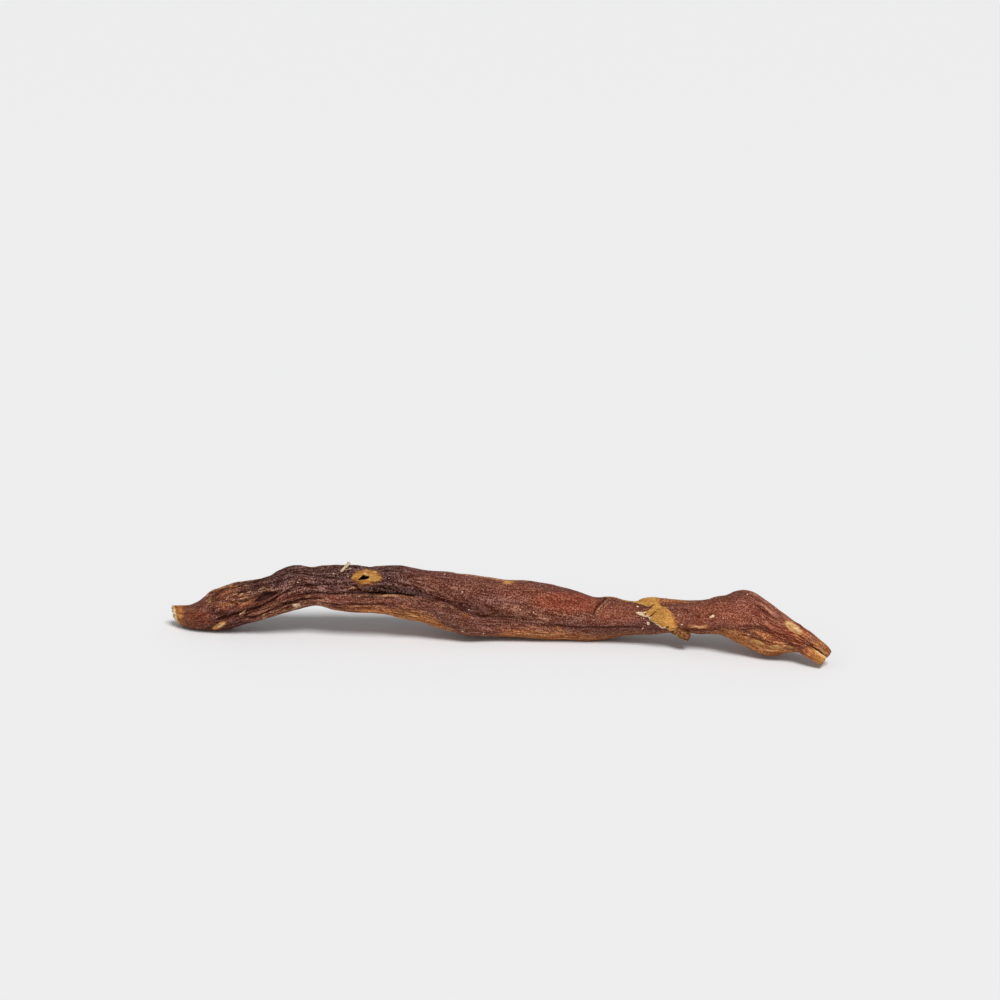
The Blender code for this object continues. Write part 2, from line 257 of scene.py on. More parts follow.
class Skin:
    """Everything known about each point of the skin grid before its wrinkles."""

    def __init__(self):
        s = station_numbers()
        ends = through(SLANT, s)
        tx, bx = ends[:, 0], ends[:, 1]
        ty, by = along(TOP, tx), along(BOTTOM, bx)
        self.turn = turns()
        mx = (tx + bx) / 2
        self.mx = mx[:, None] + 0 * self.turn[None, :]
        self.tall = np.hypot(tx - bx, ty - by)[:, None]
        half = self.tall / 2 * UNIT
        power = 2.0 / along(FULLNESS, mx)[:, None]
        sn, cs = np.sin(self.turn)[None, :], np.cos(self.turn)[None, :]
        self.h = np.sign(sn) * np.abs(sn) ** power
        self.b = -np.sign(cs) * np.abs(cs) ** power
        self.x = ((tx + bx) / 2)[:, None] + self.h * ((tx - bx) / 2)[:, None]
        self.y = ((ty + by) / 2)[:, None] + self.h * ((ty - by) / 2)[:, None]
        self.depth = (along(DEPTH, mx)[:, None] + self.b * along(THICKNESS, mx)[:, None]
                      + along(LEAN, mx)[:, None] * self.h * half)
        self.front = step01(-self.b, 0.0, 0.3)
        self.rear = step01(self.b, 0.0, 0.3)
        self.under = (1.0 + self.h) / 2 * self.tall      # drawing units up from the lower edge
        self.over = (1.0 - self.h) / 2 * self.tall       # drawing units down from the upper edge
        base = to_frame(self.x, self.y, self.depth)
        centre = base.mean(axis=1)
        self.u = np.concatenate([[0.0], np.cumsum(np.linalg.norm(np.diff(centre, axis=0), axis=1))])[:, None] + 0 * self.h
        # A straightened space: along the root in mm, and round it at one radius for all of its length.
        self.rx, self.ry = 4.0 * np.cos(self.turn)[None, :] + 0 * self.h, 4.0 * np.sin(self.turn)[None, :] + 0 * self.h


# Grooves of the front: line, half-width in drawing units, depth in mm, part of the length over which each end fades.
FOLD_LINE = [(344, 590.2), (350, 590.4), (360, 590.2), (364, 592), (370, 593.2), (380, 593.3), (390, 593.8), (400, 593.9),
             (405.8, 594.8), (415, 596.6), (421, 597.2), (430, 598.4), (440, 600), (450, 602.2), (456, 604.2), (462, 606), (470, 608), (482, 609.4)]
LOWER_LINE = [(428, 599.5), (438, 602.5), (448, 607), (456, 609.4), (465, 611.7), (472, 613.6), (480, 615.4), (490, 617.2), (500, 617.5),
              (510, 617.4), (520, 617.6), (535, 619), (540, 620.2), (544, 622), (548, 624), (558, 624.8), (565, 626.5), (575, 627.4),
              (590, 627.6), (600, 627.9), (610, 627.9), (620, 627.5), (630, 626.8), (636, 627.6), (643, 629.4)]
LEFT_LINE = [(212, 620), (220, 618), (225, 617), (231.7, 615.4), (237.5, 613.3), (241.7, 611.7), (248.3, 610), (255, 608.3), (260, 606.3),
             (265, 603.8), (270, 601.3), (275.8, 597.5), (280, 594.6), (285.8, 592), (291, 590), (297, 588.8)]
WAIST_LINE = [(680.7, 628.9), (686, 628.3), (690, 628), (696.4, 629.3), (702, 629.7), (707, 628.4), (714.3, 628.8), (720, 629.6), (729.6, 629.3),
              (735, 628.1), (740, 626.7), (750, 626.2), (760, 627.7), (766.5, 629.2), (772.7, 631.5), (780, 634.6), (786.5, 637.3),
              (792.7, 639.6), (800, 642.9), (808, 645.2), (813, 647), (817, 648.6), (821, 652), (825.5, 656.6)]
GROOVES = [
    (LEFT_LINE, 1.15, 0.5, 0.12),
    ([(244, 619), (250, 617.5), (260, 614.6), (265, 612.5), (275.8, 608.3), (285.8, 604.2), (293, 602.5), (301.7, 600), (310, 598.8), (320, 598.3),
      (326.7, 599.2), (333, 600.6)], 1.0, 0.34, 0.15),
    ([(281, 591.5), (285, 590), (290, 588.8), (295, 586.7), (300, 585.4), (310, 584.6), (320, 584.6), (330, 584.2), (343, 584.2), (349, 585)], 1.0, 0.3, 0.2),
    ([(296, 594.5), (302, 593.3), (310, 592.5), (320, 592.5), (326.7, 593.3), (335, 593.8), (345, 594), (354, 593.6)], 1.0, 0.32, 0.2),
    ([(316, 577.6), (320, 576.7), (330, 577), (336.7, 578.3), (344, 578)], 0.9, 0.2, 0.3),
    ([(320, 602), (326.7, 603.3), (343, 605), (355, 604.6), (370, 604.2), (380, 604.2), (390, 605), (402, 606.8)], 1.1, 0.24, 0.2),
    ([(300, 572.5), (312, 571.2), (324, 570.6), (334, 571.6)], 1.0, 0.15, 0.3),
    ([(264, 588), (272, 585), (281, 581), (290, 578), (302, 576.8)], 1.1, 0.2, 0.3),
    ([(262, 622), (272, 618), (284, 613), (296, 609)], 0.8, 0.16, 0.3),
    ([(230, 608), (238, 606.6), (246, 606.6), (252, 604.8)], 1.0, 0.22, 0.3),
    ([(352, 598.5), (366, 597.8), (380, 599), (392, 600)], 0.9, 0.14, 0.3),
    ([(384, 587), (396, 586), (408, 585.6), (420, 586.8), (434, 588), (446, 590)], 1.3, 0.14, 0.3),
    ([(398, 611.5), (408, 612.4), (420, 614.5), (432, 619), (443, 623.6), (452, 628)], 1.1, 0.2, 0.2),
    (LOWER_LINE, 1.0, 0.28, 0.05),
    ([(468, 629.4), (480, 631.7), (490, 632.9), (500, 633.8), (512, 634.3)], 0.9, 0.18, 0.3),
    ([(566, 629.5), (575, 630.6), (590, 631.3), (600, 631.7), (610, 631.3), (620, 630.8), (634, 630)], 0.9, 0.15, 0.3),
    ([(500, 595.5), (505, 598), (510, 600.8), (520, 604.2), (530, 607.5), (547, 612.4)], 1.1, 0.2, 0.25),
    ([(528, 614), (540, 613.6), (556, 616), (570, 619.6), (584, 621.4)], 1.2, 0.12, 0.3),
    ([(609, 597.2), (605, 598.6), (602.5, 601.5), (599, 604.2), (596.7, 606.7), (595, 610), (593.4, 613.6), (591.7, 617)], 1.0, 0.5, 0.15),
    ([(603, 597.8), (599.5, 600.4), (596.5, 603.4), (594, 607.4)], 0.8, 0.14, 0.3),
    ([(619.5, 600), (617.3, 603.6)], 1.0, 0.12, 0.3),
    ([(681, 608.4), (685.7, 610.6), (690.7, 613.3), (696.4, 616.5), (701.4, 619.2)], 0.8, 0.16, 0.1),
    ([(702.6, 620.4), (708.6, 615.7), (710.7, 613.9), (715.4, 612.1)], 0.8, 0.16, 0.15),
    (WAIST_LINE, 1.1, 0.12, 0.04),
    ([(734, 634.6), (742, 635), (748, 635.6), (751.2, 636.9), (757.3, 639.6), (765, 641.5), (771.2, 642.7), (778, 645.2)], 1.1, 0.3, 0.2),
    ([(749, 601.4), (753.8, 604.6), (758.1, 607.7), (763.5, 610.8), (768.8, 613.8), (774.2, 616.9), (780, 621.5), (785.8, 626.2), (792, 631)], 1.2, 0.3, 0.2),
    ([(775, 614), (783, 620.6), (791, 627.6), (798, 634.6), (805, 641)], 1.0, 0.2, 0.2),
    ([(796, 633.6), (803, 638.6), (810, 643), (816, 646.4)], 0.8, 0.2, 0.2),
    ([(800, 629.5), (808, 634.6), (816, 641), (823, 647.5)], 0.8, 0.16, 0.2),
    ([(782, 642.6), (792, 646.4), (802, 650.4), (810, 653.6)], 0.9, 0.18, 0.2),
    ([(690, 603.6), (700, 603.4), (710, 603), (720, 601), (730, 598.6)], 1.2, 0.12, 0.3),
]
# Ridges of the front: line, half-width, height in mm, fade.
RIDGES = [
    ([(352, 595.4), (360, 595.6), (371.7, 594.9), (385, 595.4), (401.7, 596.2), (415, 598.6), (424, 600)], 1.5, 0.34, 0.12),
    ([(347, 587.8), (353, 588), (360, 587), (364, 589.6), (370, 591)], 1.2, 0.2, 0.25),
    ([(432, 601.6), (440, 604.6), (448, 608.6)], 1.8, 0.08, 0.3),
    ([(536, 617.6), (541, 619), (545, 620.8), (549, 623)], 1.1, 0.16, 0.2),
    ([(611, 598.4), (606, 601.4), (601.5, 605.6), (598, 610.5), (596, 616)], 1.5, 0.2, 0.2),
    ([(597.5, 598), (594, 601.6), (591.5, 606)], 1.4, 0.12, 0.3),
    ([(620.6, 600.4), (618.4, 604)], 0.9, 0.14, 0.3),
    ([(685, 627.0), (691, 626.0), (696.0, 626.8), (700.7, 627.4), (705, 626.4), (711, 624.8)], 1.5, 0.4, 0.2),
    ([(554.6, 626.9), (562.5, 630.1)], 1.0, 0.14, 0.2),
    ([(777, 617.5), (784, 623.6), (790, 629)], 1.2, 0.18, 0.2),
    ([(756, 602), (766, 608), (776, 614.8)], 1.6, 0.14, 0.3),
    ([(236, 606), (244, 603), (252, 599), (258, 595)], 1.6, 0.16, 0.3),
    ([(258, 595.5), (263, 591.5), (271, 589.6), (279, 590)], 1.1, 0.2, 0.25),
    ([(820, 649.4), (823, 652.4), (826, 655.6)], 1.0, 0.14, 0.2),
]
HOLLOW = [(254.6, 601.4), (257.5, 597.6), (260.5, 594.6), (264.5, 592.4), (270, 591.2), (275, 590.9), (279.8, 591.6), (277.5, 594.6), (273.2, 597.2),
          (268, 599.4), (262.5, 601.4), (257.6, 602.6)]
# Thin lines of the front that are too fine for a groove, pressed in a little and darkened, partly the skin's own dark
# streaks and partly painted shade in fine creases: line, half-width, strength.
DARK_MARKS = [
    ([(345, 590.2), (350, 590.6), (357, 590.5), (362, 591.8), (366, 593.0)], 0.6, 0.75),
    ([(350, 593.6), (358, 594.2), (365, 593.8)], 0.5, 0.55),
    ([(333, 603.0), (345, 603.4), (358, 603.8), (372, 603.8), (385, 604.4), (398, 606.0)], 0.6, 0.6),
    ([(345, 598.0), (356, 597.6), (366, 598.0)], 0.45, 0.4),
    ([(346, 609.4), (360, 609.0), (372, 609.4), (386, 611.2)], 0.5, 0.4),
    ([(372, 587.6), (384, 588.6), (398, 589.6), (412, 590.4), (426, 592.6)], 0.6, 0.3),
    ([(378, 590.8), (392, 591.4), (406, 592.4)], 0.5, 0.3),
    ([(404, 582.4), (418, 583.6), (432, 585.6), (446, 588.4)], 0.6, 0.3),
    ([(244, 609.6), (250, 607.4), (257, 604.6), (263, 602.6)], 1.1, 0.7),
    ([(254, 616.4), (264, 613.4), (273, 609.6), (282, 605.8), (291, 603.2)], 0.6, 0.6),
    ([(258, 611.0), (267, 607.4), (276, 603.6), (285, 599.6), (294, 596.8), (304, 595.4)], 0.6, 0.6),
    ([(266, 617.0), (276, 613.4), (286, 609.6), (296, 606.2), (306, 603.8)], 0.5, 0.5),
    ([(282, 598.6), (292, 594.6), (302, 590.4), (312, 588.6), (324, 588.0)], 0.55, 0.5),
    ([(300, 580.4), (312, 579.8), (326, 580.4), (338, 581.0)], 0.5, 0.5),
    ([(270, 593.6), (280, 588.6), (290, 585.4), (300, 582.6), (312, 582.2)], 0.5, 0.5),
    ([(272, 607.0), (282, 602.0), (292, 598.8), (304, 597.6), (316, 599.6)], 0.5, 0.45),
    ([(310, 575.0), (322, 573.6), (334, 574.6), (344, 575.6)], 0.5, 0.4),
    ([(288, 573.0), (298, 570.0), (308, 568.8)], 0.5, 0.35),
    ([(226, 602.4), (234, 600.0), (242, 597.0), (250, 593.4)], 0.6, 0.5),
    ([(214, 596.0), (224, 593.0), (234, 590.6), (246, 588.0)], 0.55, 0.45),
    ([(232, 587.6), (244, 585.6), (256, 583.6), (266, 580.4)], 0.5, 0.35),
    ([(206, 606.6), (214, 605.0), (222, 603.6)], 0.6, 0.4),
    ([(426, 592.4), (438, 594.2), (448, 598.2), (458, 603.6), (467, 608.4), (478, 612.4)], 0.5, 0.4),
    ([(414, 595.6), (428, 596.8), (439, 599.2), (446, 601.8), (453, 604.8), (459, 608.2), (465, 611.4), (473, 614.8), (487, 617), (504, 617), (520, 619),
      (531, 620.3), (546, 622.6)], 0.75, 0.95),
    ([(420, 574.6), (434, 577.4), (446, 580.0), (458, 583.6), (470, 588.0)], 0.6, 0.5),
    ([(428, 581.6), (440, 584.6), (452, 588.4), (464, 592.6)], 0.5, 0.4),
    ([(418, 588.2), (437, 589.4), (446, 593), (453, 597), (461, 601.2), (469, 604.8), (482, 610), (492, 614)], 0.55, 0.6),
    ([(505, 600.4), (514, 603.0), (524, 606.4), (534, 610.0), (542, 614.0), (549, 619.4)], 0.5, 0.6),
    ([(522, 604.4), (534, 607.6), (548, 610.4), (560, 612.4)], 0.5, 0.3),
    ([(470, 599.4), (484, 603.0), (498, 606.6), (512, 610.0), (526, 613.6)], 0.45, 0.25),
    ([(440, 590.8), (456, 594.6), (472, 598.2), (488, 600.6)], 0.45, 0.25),
    ([(448, 612.4), (458, 615.4), (468, 618.8), (478, 621.0)], 0.5, 0.3),
    ([(546, 622.4), (560, 625.4), (575, 626.6), (592, 626.6), (610, 627.0), (622, 626.4), (634, 625.8), (642, 627.8)], 0.8, 0.7),
    ([(612, 599.4), (608.6, 601.0), (604.6, 604.6), (600.8, 608.0), (597.6, 612.4), (595.4, 617.0)], 0.65, 0.8),
    ([(680, 607.9), (685.7, 610.6), (690.7, 613.3), (696.4, 616.5), (702, 619.6)], 0.5, 0.62),
    ([(701.6, 619.8), (705.4, 617.8), (709.4, 615.0), (714.6, 612.6)], 0.5, 0.5),
    ([(686, 629.4), (693, 629.6), (700, 630.6), (707, 629.8), (714, 629.2), (724, 629.8)], 0.6, 0.6),
    ([(750, 601.0), (756, 605.8), (764, 611.2), (772.5, 615.2)], 0.7, 0.6),
    ([(730, 626.4), (740, 625.8), (749, 626.0), (761, 629.0), (774, 635.0), (786, 641.0), (800, 648.4)], 0.6, 0.5),
    ([(767.5, 632.5), (776, 636.6), (783, 640.6), (792, 644.6), (800, 647.6), (808, 651.0)], 0.55, 0.5),
    ([(766, 622.0), (776, 627.4), (786, 633.4), (797, 640.4)], 0.5, 0.4),
    ([(784, 626.6), (792, 633.0), (800, 639.0), (808, 645.0), (814, 648.6)], 0.5, 0.45),
    ([(800, 629.6), (808, 635.0), (816, 641.0), (824, 648.0)], 0.5, 0.45),
    ([(804, 628.4), (812, 634.6), (820, 641.6), (827, 648.0)], 0.45, 0.35),
]
# Thin ridges and edges of the front, raised a little and lightened with painted highlight: line, half-width, strength.
HIGHLIGHT_MARKS = [
    ([(336, 594.8), (350, 595.2), (362, 595.3), (374, 594.8), (389, 595.1), (403, 596.5), (414, 598.7), (424, 601.2)], 0.6, 1.0),
    ([(334, 605.2), (348, 605.4), (362, 605.4), (378, 605.6), (394, 607.2)], 0.55, 0.7),
    ([(348, 588.8), (355, 588.2), (361, 588.0), (365, 589.8), (371, 592.0)], 0.6, 0.6),
    ([(336, 606.0), (350, 606.4), (362, 606.0), (376, 606.4), (390, 608.2)], 0.7, 0.5),
    ([(338, 601.4), (352, 601.0), (366, 601.2), (380, 602.0)], 0.6, 0.35),
    ([(300, 597.4), (312, 596.0), (324, 595.8), (336, 597.2), (348, 597.0)], 0.6, 0.35),
    ([(304, 602.6), (316, 600.8), (328, 602.0), (340, 604.4)], 0.6, 0.45),
    ([(253.4, 601.6), (256.6, 597.0), (260.0, 593.8), (264.4, 591.4), (270, 590.2), (276, 589.9)], 0.5, 0.75),
    ([(246, 599.6), (252, 596.4), (256, 593.4)], 0.5, 0.4),
    ([(276, 596.6), (284, 593.2), (294, 591.0), (306, 589.6), (318, 589.4)], 0.5, 0.35),
    ([(282, 584.4), (292, 581.0), (304, 578.6), (318, 578.4)], 0.5, 0.3),
    ([(430, 599.4), (440, 602.0), (448, 605.6), (455, 609.6), (462, 613.8), (472, 617.4)], 0.6, 0.5),
    ([(424, 593.8), (436, 596.0), (446, 599.6), (454, 603.2)], 0.45, 0.4),
    ([(426, 604.0), (438, 607.4), (450, 612.4), (464, 618.0)], 0.5, 0.25),
    ([(500, 596.4), (507, 599.2), (516, 602.0)], 0.5, 0.4),
    ([(436, 602.4), (445, 605.2), (454, 608.8), (462, 612.6), (469, 616.2), (477, 620.6)], 0.9, 0.5),
    ([(422, 588.6), (434, 590.6), (446, 594.4), (456, 600.0)], 0.7, 0.4),
    ([(500, 602.4), (512, 605.8), (524, 609.4), (534, 613.0)], 0.6, 0.35),
    ([(484, 611.8), (498, 613.8), (512, 613.8), (526, 616.0)], 0.6, 0.3),
    ([(520, 610.0), (530, 611.6), (540, 614.4), (548, 618.6)], 0.5, 0.35),
    ([(258, 619.0), (272, 614.8), (284, 610.8), (296, 607.6), (308, 605.4)], 0.8, 0.8),
    ([(262, 621.6), (276, 617.0), (290, 612.4), (304, 608.0), (318, 605.6)], 0.7, 0.7),
    ([(262, 609.4), (272, 605.2), (281, 601.6), (290, 598.6)], 0.6, 0.6),
    ([(540, 618.0), (544, 619.6), (549, 622.0), (555, 624.2)], 0.7, 0.5),
    ([(613, 599.0), (609.6, 602.0), (605.6, 605.6), (602.0, 609.4), (599.6, 613.6)], 0.8, 0.65),
    ([(620.8, 600.4), (618.8, 603.8)], 0.7, 0.6),
    ([(749, 591.6), (757, 595.2), (765, 600.6), (776, 609.0)], 0.7, 0.25),
    ([(759, 606.4), (766, 610.8), (774, 615.2), (782, 622.0)], 0.6, 0.35),
    ([(776, 616.6), (780, 621.4), (785, 626.4)], 0.6, 0.6),
    ([(744, 591.6), (751, 593.0), (758, 596.4), (766, 601.4), (774, 608.0), (783, 614.8), (792, 620.6)], 0.6, 0.4),
    ([(790, 620.6), (800, 627.4), (810, 634.6), (820, 642.4)], 0.6, 0.4),
    ([(779, 625.0), (783, 628.6), (787, 631.6)], 0.7, 0.6),
    ([(768, 626.0), (778, 631.0), (788, 637.0), (798, 644.0)], 0.6, 0.4),
    ([(800, 634.6), (808, 640.0), (815, 645.4)], 0.7, 0.5),
    ([(806, 632.6), (814, 638.6), (822, 645.6)], 0.6, 0.4),
    ([(774, 640.6), (786, 645.8), (797, 650.0)], 0.6, 0.35),
    ([(736, 623.6), (748, 623.2), (760, 625.4)], 0.6, 0.3),
]
FLAKE = [(236.6, 606.8), (240, 604.6), (244, 602.8), (249, 601.2), (254.2, 600.8), (251.6, 603.6), (246.8, 605.8), (241, 607.4)]
KNOT = [(350.6, 579.0), (351.2, 576.2), (353, 573.8), (356, 571.8), (360, 570.5), (364, 569.2), (366, 568.4), (368, 569.1), (372, 569.5), (377, 570.4),
        (380, 572.2), (382.4, 575.2), (383.6, 578.4), (382.4, 580.8), (378.5, 582.8), (373.5, 584.3), (369, 586.2), (364.5, 586.2), (360, 584.6),
        (355.5, 583.2), (352, 581.2)]
KNOT_HOLE = [(357.6, 580.2), (359.5, 578.8), (361, 577.6), (363, 575.3), (364.6, 575.6), (365.6, 576.8), (367.6, 576.2), (368.9, 577.2), (368, 578.6),
             (365, 579.3), (361, 580)]
# Folds of the hidden side: height on the section against x, half-width in mm round it, depth in mm.
BACK_FOLDS = [
    ([(196, 0.05), (240, 0.22), (300, 0.35), (350, 0.2), (400, 0.12), (470, 0.3), (505, 0.36)], 0.10, 0.65),
    ([(330, -0.5), (380, -0.45), (450, -0.33), (520, -0.2), (580, -0.12), (640, -0.28), (668, -0.3)], 0.09, 0.6),
    ([(545, 0.5), (600, 0.4), (640, 0.32), (690, 0.22), (740, 0.24), (792, 0.34)], 0.10, 0.5),
    ([(200, -0.45), (260, -0.5), (310, -0.35), (352, -0.1)], 0.08, 0.45),
    ([(430, 0.68), (500, 0.7), (560, 0.62), (610, 0.66)], 0.07, 0.35),
    ([(676, -0.45), (720, -0.4), (760, -0.2), (806, -0.15)], 0.08, 0.45),
]


# The valley of the long fold, which gets painted shade.
FOLD_SHADE_PATH = [(340, 588), (360, 588.5), (380, 588.5), (400, 590), (420, 593), (440, 598.5), (455, 604), (470, 609), (490, 613.5), (515, 615), (545, 618)]
# Places that are lighter or darker than the masks make them, partly the skin's own tone and partly painted light and
# shade (light painted into the shade under the waist ridge and on the lower facet, shade painted into the fold's
# valley): centre, half sizes, turn in degrees, how much.
TONE_LIGHT_AND_SHADE = [(195, 618, 16, 8, 0, -0.06), (262, 597, 14, 5, -25, -0.06), (230, 594, 26, 8, -14, 0.24), (213, 598, 6, 5, -50, 0.14), (462, 598, 34, 5, 14, -0.09), (258, 615, 18, 6, -16, 0.15), (330, 602, 24, 6, 0, 0.2),
                  (364, 583.6, 10, 2.6, 0, 0.1), (372, 608.8, 32, 2.6, 2, 0.33), (380, 602, 40, 5, 4, 0.04), (500, 631, 28, 4, 3, 0.22), (565, 634, 42, 5, 2, 0.1), (565, 602, 34, 10, 4, 0.05), (617, 615, 24, 11, 0, 0.17),
                  (710, 616, 40, 14, 0, 0.17), (765, 645, 30, 8, 12, 0.0), (792, 637, 13, 5, 30, 0.13), (812, 638.5, 14, 4.5, 38, 0.26), (512, 613, 28, 4, 3, -0.07),
                  (390, 588, 16, 4, 0, -0.04), (770, 636.5, 22, 5.5, 20, 0.12), (770, 621, 26, 9, 34, 0.08), (812, 645, 16, 4, 40, 0.02), (256, 608, 9, 2.2, -24, -0.15), (241.6, 612.8, 4.6, 2.0, -35, 0.2), (219, 626, 8, 4, -27, 0.26), (296.5, 605.5, 5, 2.6, -14, 0.14), (794, 628, 12, 5.5, 36, 0.14),
                  (310, 590, 50, 12, -4, 0.14), (290, 611, 34, 5, -19, 0.10), (372, 601, 34, 4, 2, 0.06), (258, 602, 24, 7, -20, 0.09), (476, 607, 26, 6, 12, -0.12), (697, 626.6, 9, 2, 0, 0.14), (688, 629.5, 12, 3, 0, 0.1),
                  (178, 613, 5, 10, 0, 0.17), (753, 625.5, 12, 2.6, 8, 0.08), (207, 605, 9, 6, -40, 0.08), (508.5, 582.3, 7, 2, -6, 0.16), (535, 629, 34, 4, 2, 0.05),
                  (432, 621, 14, 3, 22, 0.06), (245, 603.4, 7, 2, -25, -0.06), (420, 591, 15, 5, 8, -0.06), (444, 580, 18, 6, 6, -0.04),
                  (300, 592, 30, 7, -8, 0.1), (700, 628, 16, 3, 0, 0.12), (272, 612, 20, 5, -18, 0.2)]


def groove(x, y, line, width, deep, fade):
    d, part = line_field(line, x, y)
    return deep * np.exp(-(d / width) ** 2) * step01(part, -0.001, fade) * step01(1 - part, -0.001, fade)


def relief(k):
    """The shapes of the skin that are larger than its wrinkles: depth in mm, away from the eye on the front and into
    the root on the rear.
    Also returns how far each point lies in a groove, which the colours darken with painted shade, and on a ridge, which
    they lighten with painted highlight, 0 to 1."""
    x, y, f = k.x, k.y, k.front
    deep = np.zeros(x.shape)
    pit_shade = np.zeros(x.shape)
    crest_highlight = np.zeros(x.shape)
    fx = x + 0.5 * noise(x / 7, y / 4, 0.3, 5)
    fy = y + 0.35 * noise(x / 6, y / 4, 1.3, 6)
    for line, width, d, fade in GROOVES:
        g = groove(fx, fy, line, width, 1.0, fade)
        wide = groove(fx, fy, line, width * 2.6, 1.0, fade)
        deep += f * (0.72 * d * g + 0.28 * d * wide)
        # how much painted shade the bottom of each groove gets
        shade_amount = (0.22 + d * 1.25) * (1.0 + 0.5 * (1 - step01(x, 340, 420)))
        pit_shade = np.maximum(pit_shade, f * g * np.minimum(1.0, shade_amount))
    for line, width, d, fade in RIDGES:
        g = groove(fx, fy, line, width, 1.0, fade)
        deep -= f * d * g
        crest_highlight = np.maximum(crest_highlight, f * g * min(1.0, 0.4 + 2.0 * d))

    for line, width, amount in DARK_MARKS:
        g = groove(x + 0.35 * noise(x / 5, y / 3, 0.3, 7), fy, line, width, 1.0, 0.2)
        deep += f * 0.12 * amount * g
        pit_shade = np.maximum(pit_shade, f * amount * (1 + 0.25 * step01(x, 742, 752)) * g)
    for line, width, amount in HIGHLIGHT_MARKS:
        g = groove(x + 0.35 * noise(x / 5, y / 3, 0.3, 8), fy, line, width, 1.0, 0.2)
        deep -= f * 0.09 * amount * g
        crest_highlight = np.maximum(crest_highlight, f * amount * (1 + 0.4 * step01(x, 742, 752)) * g)

    # the long fold: its valley above, the deep slit with painted shade in it, and the lower part standing out below it
    d, part = line_field(FOLD_LINE, fx, fy)
    slit = 0.85 * band(x, 356, 376, 398, 428) + 0.10 * band(x, 400, 430, 462, 480)
    deep += f * slit * np.exp(-(d / 0.85) ** 2)
    pit_shade = np.maximum(pit_shade, f * np.exp(-((d + 0.1) / 0.85) ** 2) * np.clip(slit * 1.5, 0, 1))
    valley = 0.5 * band(x, 372, 408, 440, 500)
    deep += f * valley * np.exp(-((d + 6.0) / 7.0) ** 2)
    stand = 0.42 * band(x, 335, 362, 432, 480)
    deep -= f * stand * step01(d, -0.6, 1.8) * np.clip(1 - step01(d, 9.0, 22.0), 0, 1)
    # the groove below the middle parts the body from a narrow lower facet
    d2, _ = line_field(LOWER_LINE, fx, fy)
    facet = 0.5 * band(x, 470, 505, 600, 640)
    deep += f * facet * step01(d2, 0.0, 6.0)
    # the lower lobe of the pointed end turns away below its groove
    d3, _ = line_field(WAIST_LINE, fx, fy)
    lobe = 0.7 * band(x, 728, 750, 780, 806)
    deep += f * lobe * step01(d3, 0.0, 5.0)
    # below the same groove the skin of the tip lies back, behind the bare core
    deep += f * 0.55 * along(THICKNESS, k.mx) * step01(d3, 0.0, 1.3) * step01(x, 807, 813)
    pit_shade = pit_shade * (1 - 0.65 * f * step01(x, 806, 812) * step01(d3, -1.6, -0.6))
    upper = band(x, 738, 752, 786, 806)
    g3 = upper * np.exp(-(d3 / 1.0) ** 2)
    deep += f * 0.22 * g3
    pit_shade = np.maximum(pit_shade, f * 0.36 * g3)
    # hollow near the left end, with painted shade in it
    hollow = f * step01(patch_field(HOLLOW, fx, fy), -0.6, 1.2)
    deep += f * 0.8 * hollow
    pit_shade = np.maximum(pit_shade, 0.8 * f * hollow)
    # knot: a low dome in a shallow ring, with its hole
    dk = patch_field(KNOT, x + 0.5 * noise(x / 4, y / 3, 0.2, 9), y + 0.4 * noise(x / 4, y / 3, 0.8, 9))
    deep -= f * (0.40 * step01(dk, -1.5, 5.0) - 0.2 * np.exp(-((dk + 1.2) / 1.5) ** 2))
    deep -= f * 0.07 * np.exp(-((line_field([(364, 573.6), (371, 573.0), (377.5, 573.4)], x, y)[0] + 1.4) / 1.2) ** 2) * step01(dk, 0, 1)
    hole = f * step01(patch_field(KNOT_HOLE, x + 0.4 * noise(x / 1.7, y / 1.7, 0.5, 11), y + 0.3 * noise(x / 1.5, y / 1.5, 0.7, 12)), -0.55, 0.75)
    deep += f * 1.25 * hole
    # scar of a side root on the left end: a low boat-shaped dome in a dark rim
    r2 = blob(x, y, 219.0, 625.9, 8.6, 2.9, -27.0)
    deep -= f * (0.22 * np.exp(-(r2 / 0.8) ** 2) - 0.2 * np.exp(-((r2 - 1.5) / 0.4) ** 2))
    # a flake of clear red skin, and a speck of pale tissue at the waist
    flake = step01(patch_field(FLAKE, x, y), -0.5, 0.8)
    deep -= f * 0.16 * flake
    pit_shade = pit_shade * (1 - 0.9 * f * flake)
    deep -= f * 0.2 * (1 - step01(blob(x, y, 711.9, 616.2, 3.6, 1.7, -25), 0.6, 1.25))
    # the waist: the skin right of the healed break stands a little proud
    edge = [(656, 594), (660, 602), (661, 606), (660, 610), (653, 616), (650, 621), (658, 626), (664, 629), (672, 633), (680, 640)]
    d4, _ = line_field(edge, x, y)
    deep -= f * 0.34 * step01(-d4, -1.0, 1.6) * band(x, 640, 650, 668, 706)

    # hidden side
    for line, width, d in BACK_FOLDS:
        q, part = line_field([(a / 45.0, b) for a, b in line], x / 45.0, k.h + 0.05 * noise(k.u / 6, 0.2, 0.4, 3))
        g = np.exp(-(q / width) ** 2) * step01(part, 0, 0.12) * step01(1 - part, 0, 0.12)
        wide = np.exp(-(q / (2.4 * width)) ** 2) * step01(part, 0, 0.12) * step01(1 - part, 0, 0.12)
        deep -= k.rear * d * (0.6 * g + 0.4 * wide)
        # painted shade in the bottoms of the folds
        pit_shade = np.maximum(pit_shade, k.rear * g * 0.6)
    # a healed knot on the back, and a shallow dent
    r5 = blob(x, k.h * 16, 452.0, -1.5, 10.0, 5.0)
    deep += k.rear * (0.35 * np.exp(-(r5 / 1.0) ** 2) - 0.2 * np.exp(-((r5 - 1.7) / 0.5) ** 2))
    pit_shade = pit_shade * (1 - 0.18 * f * band(x, 445, 465, 535, 560))
    return deep, pit_shade, crest_highlight, hole, hollow


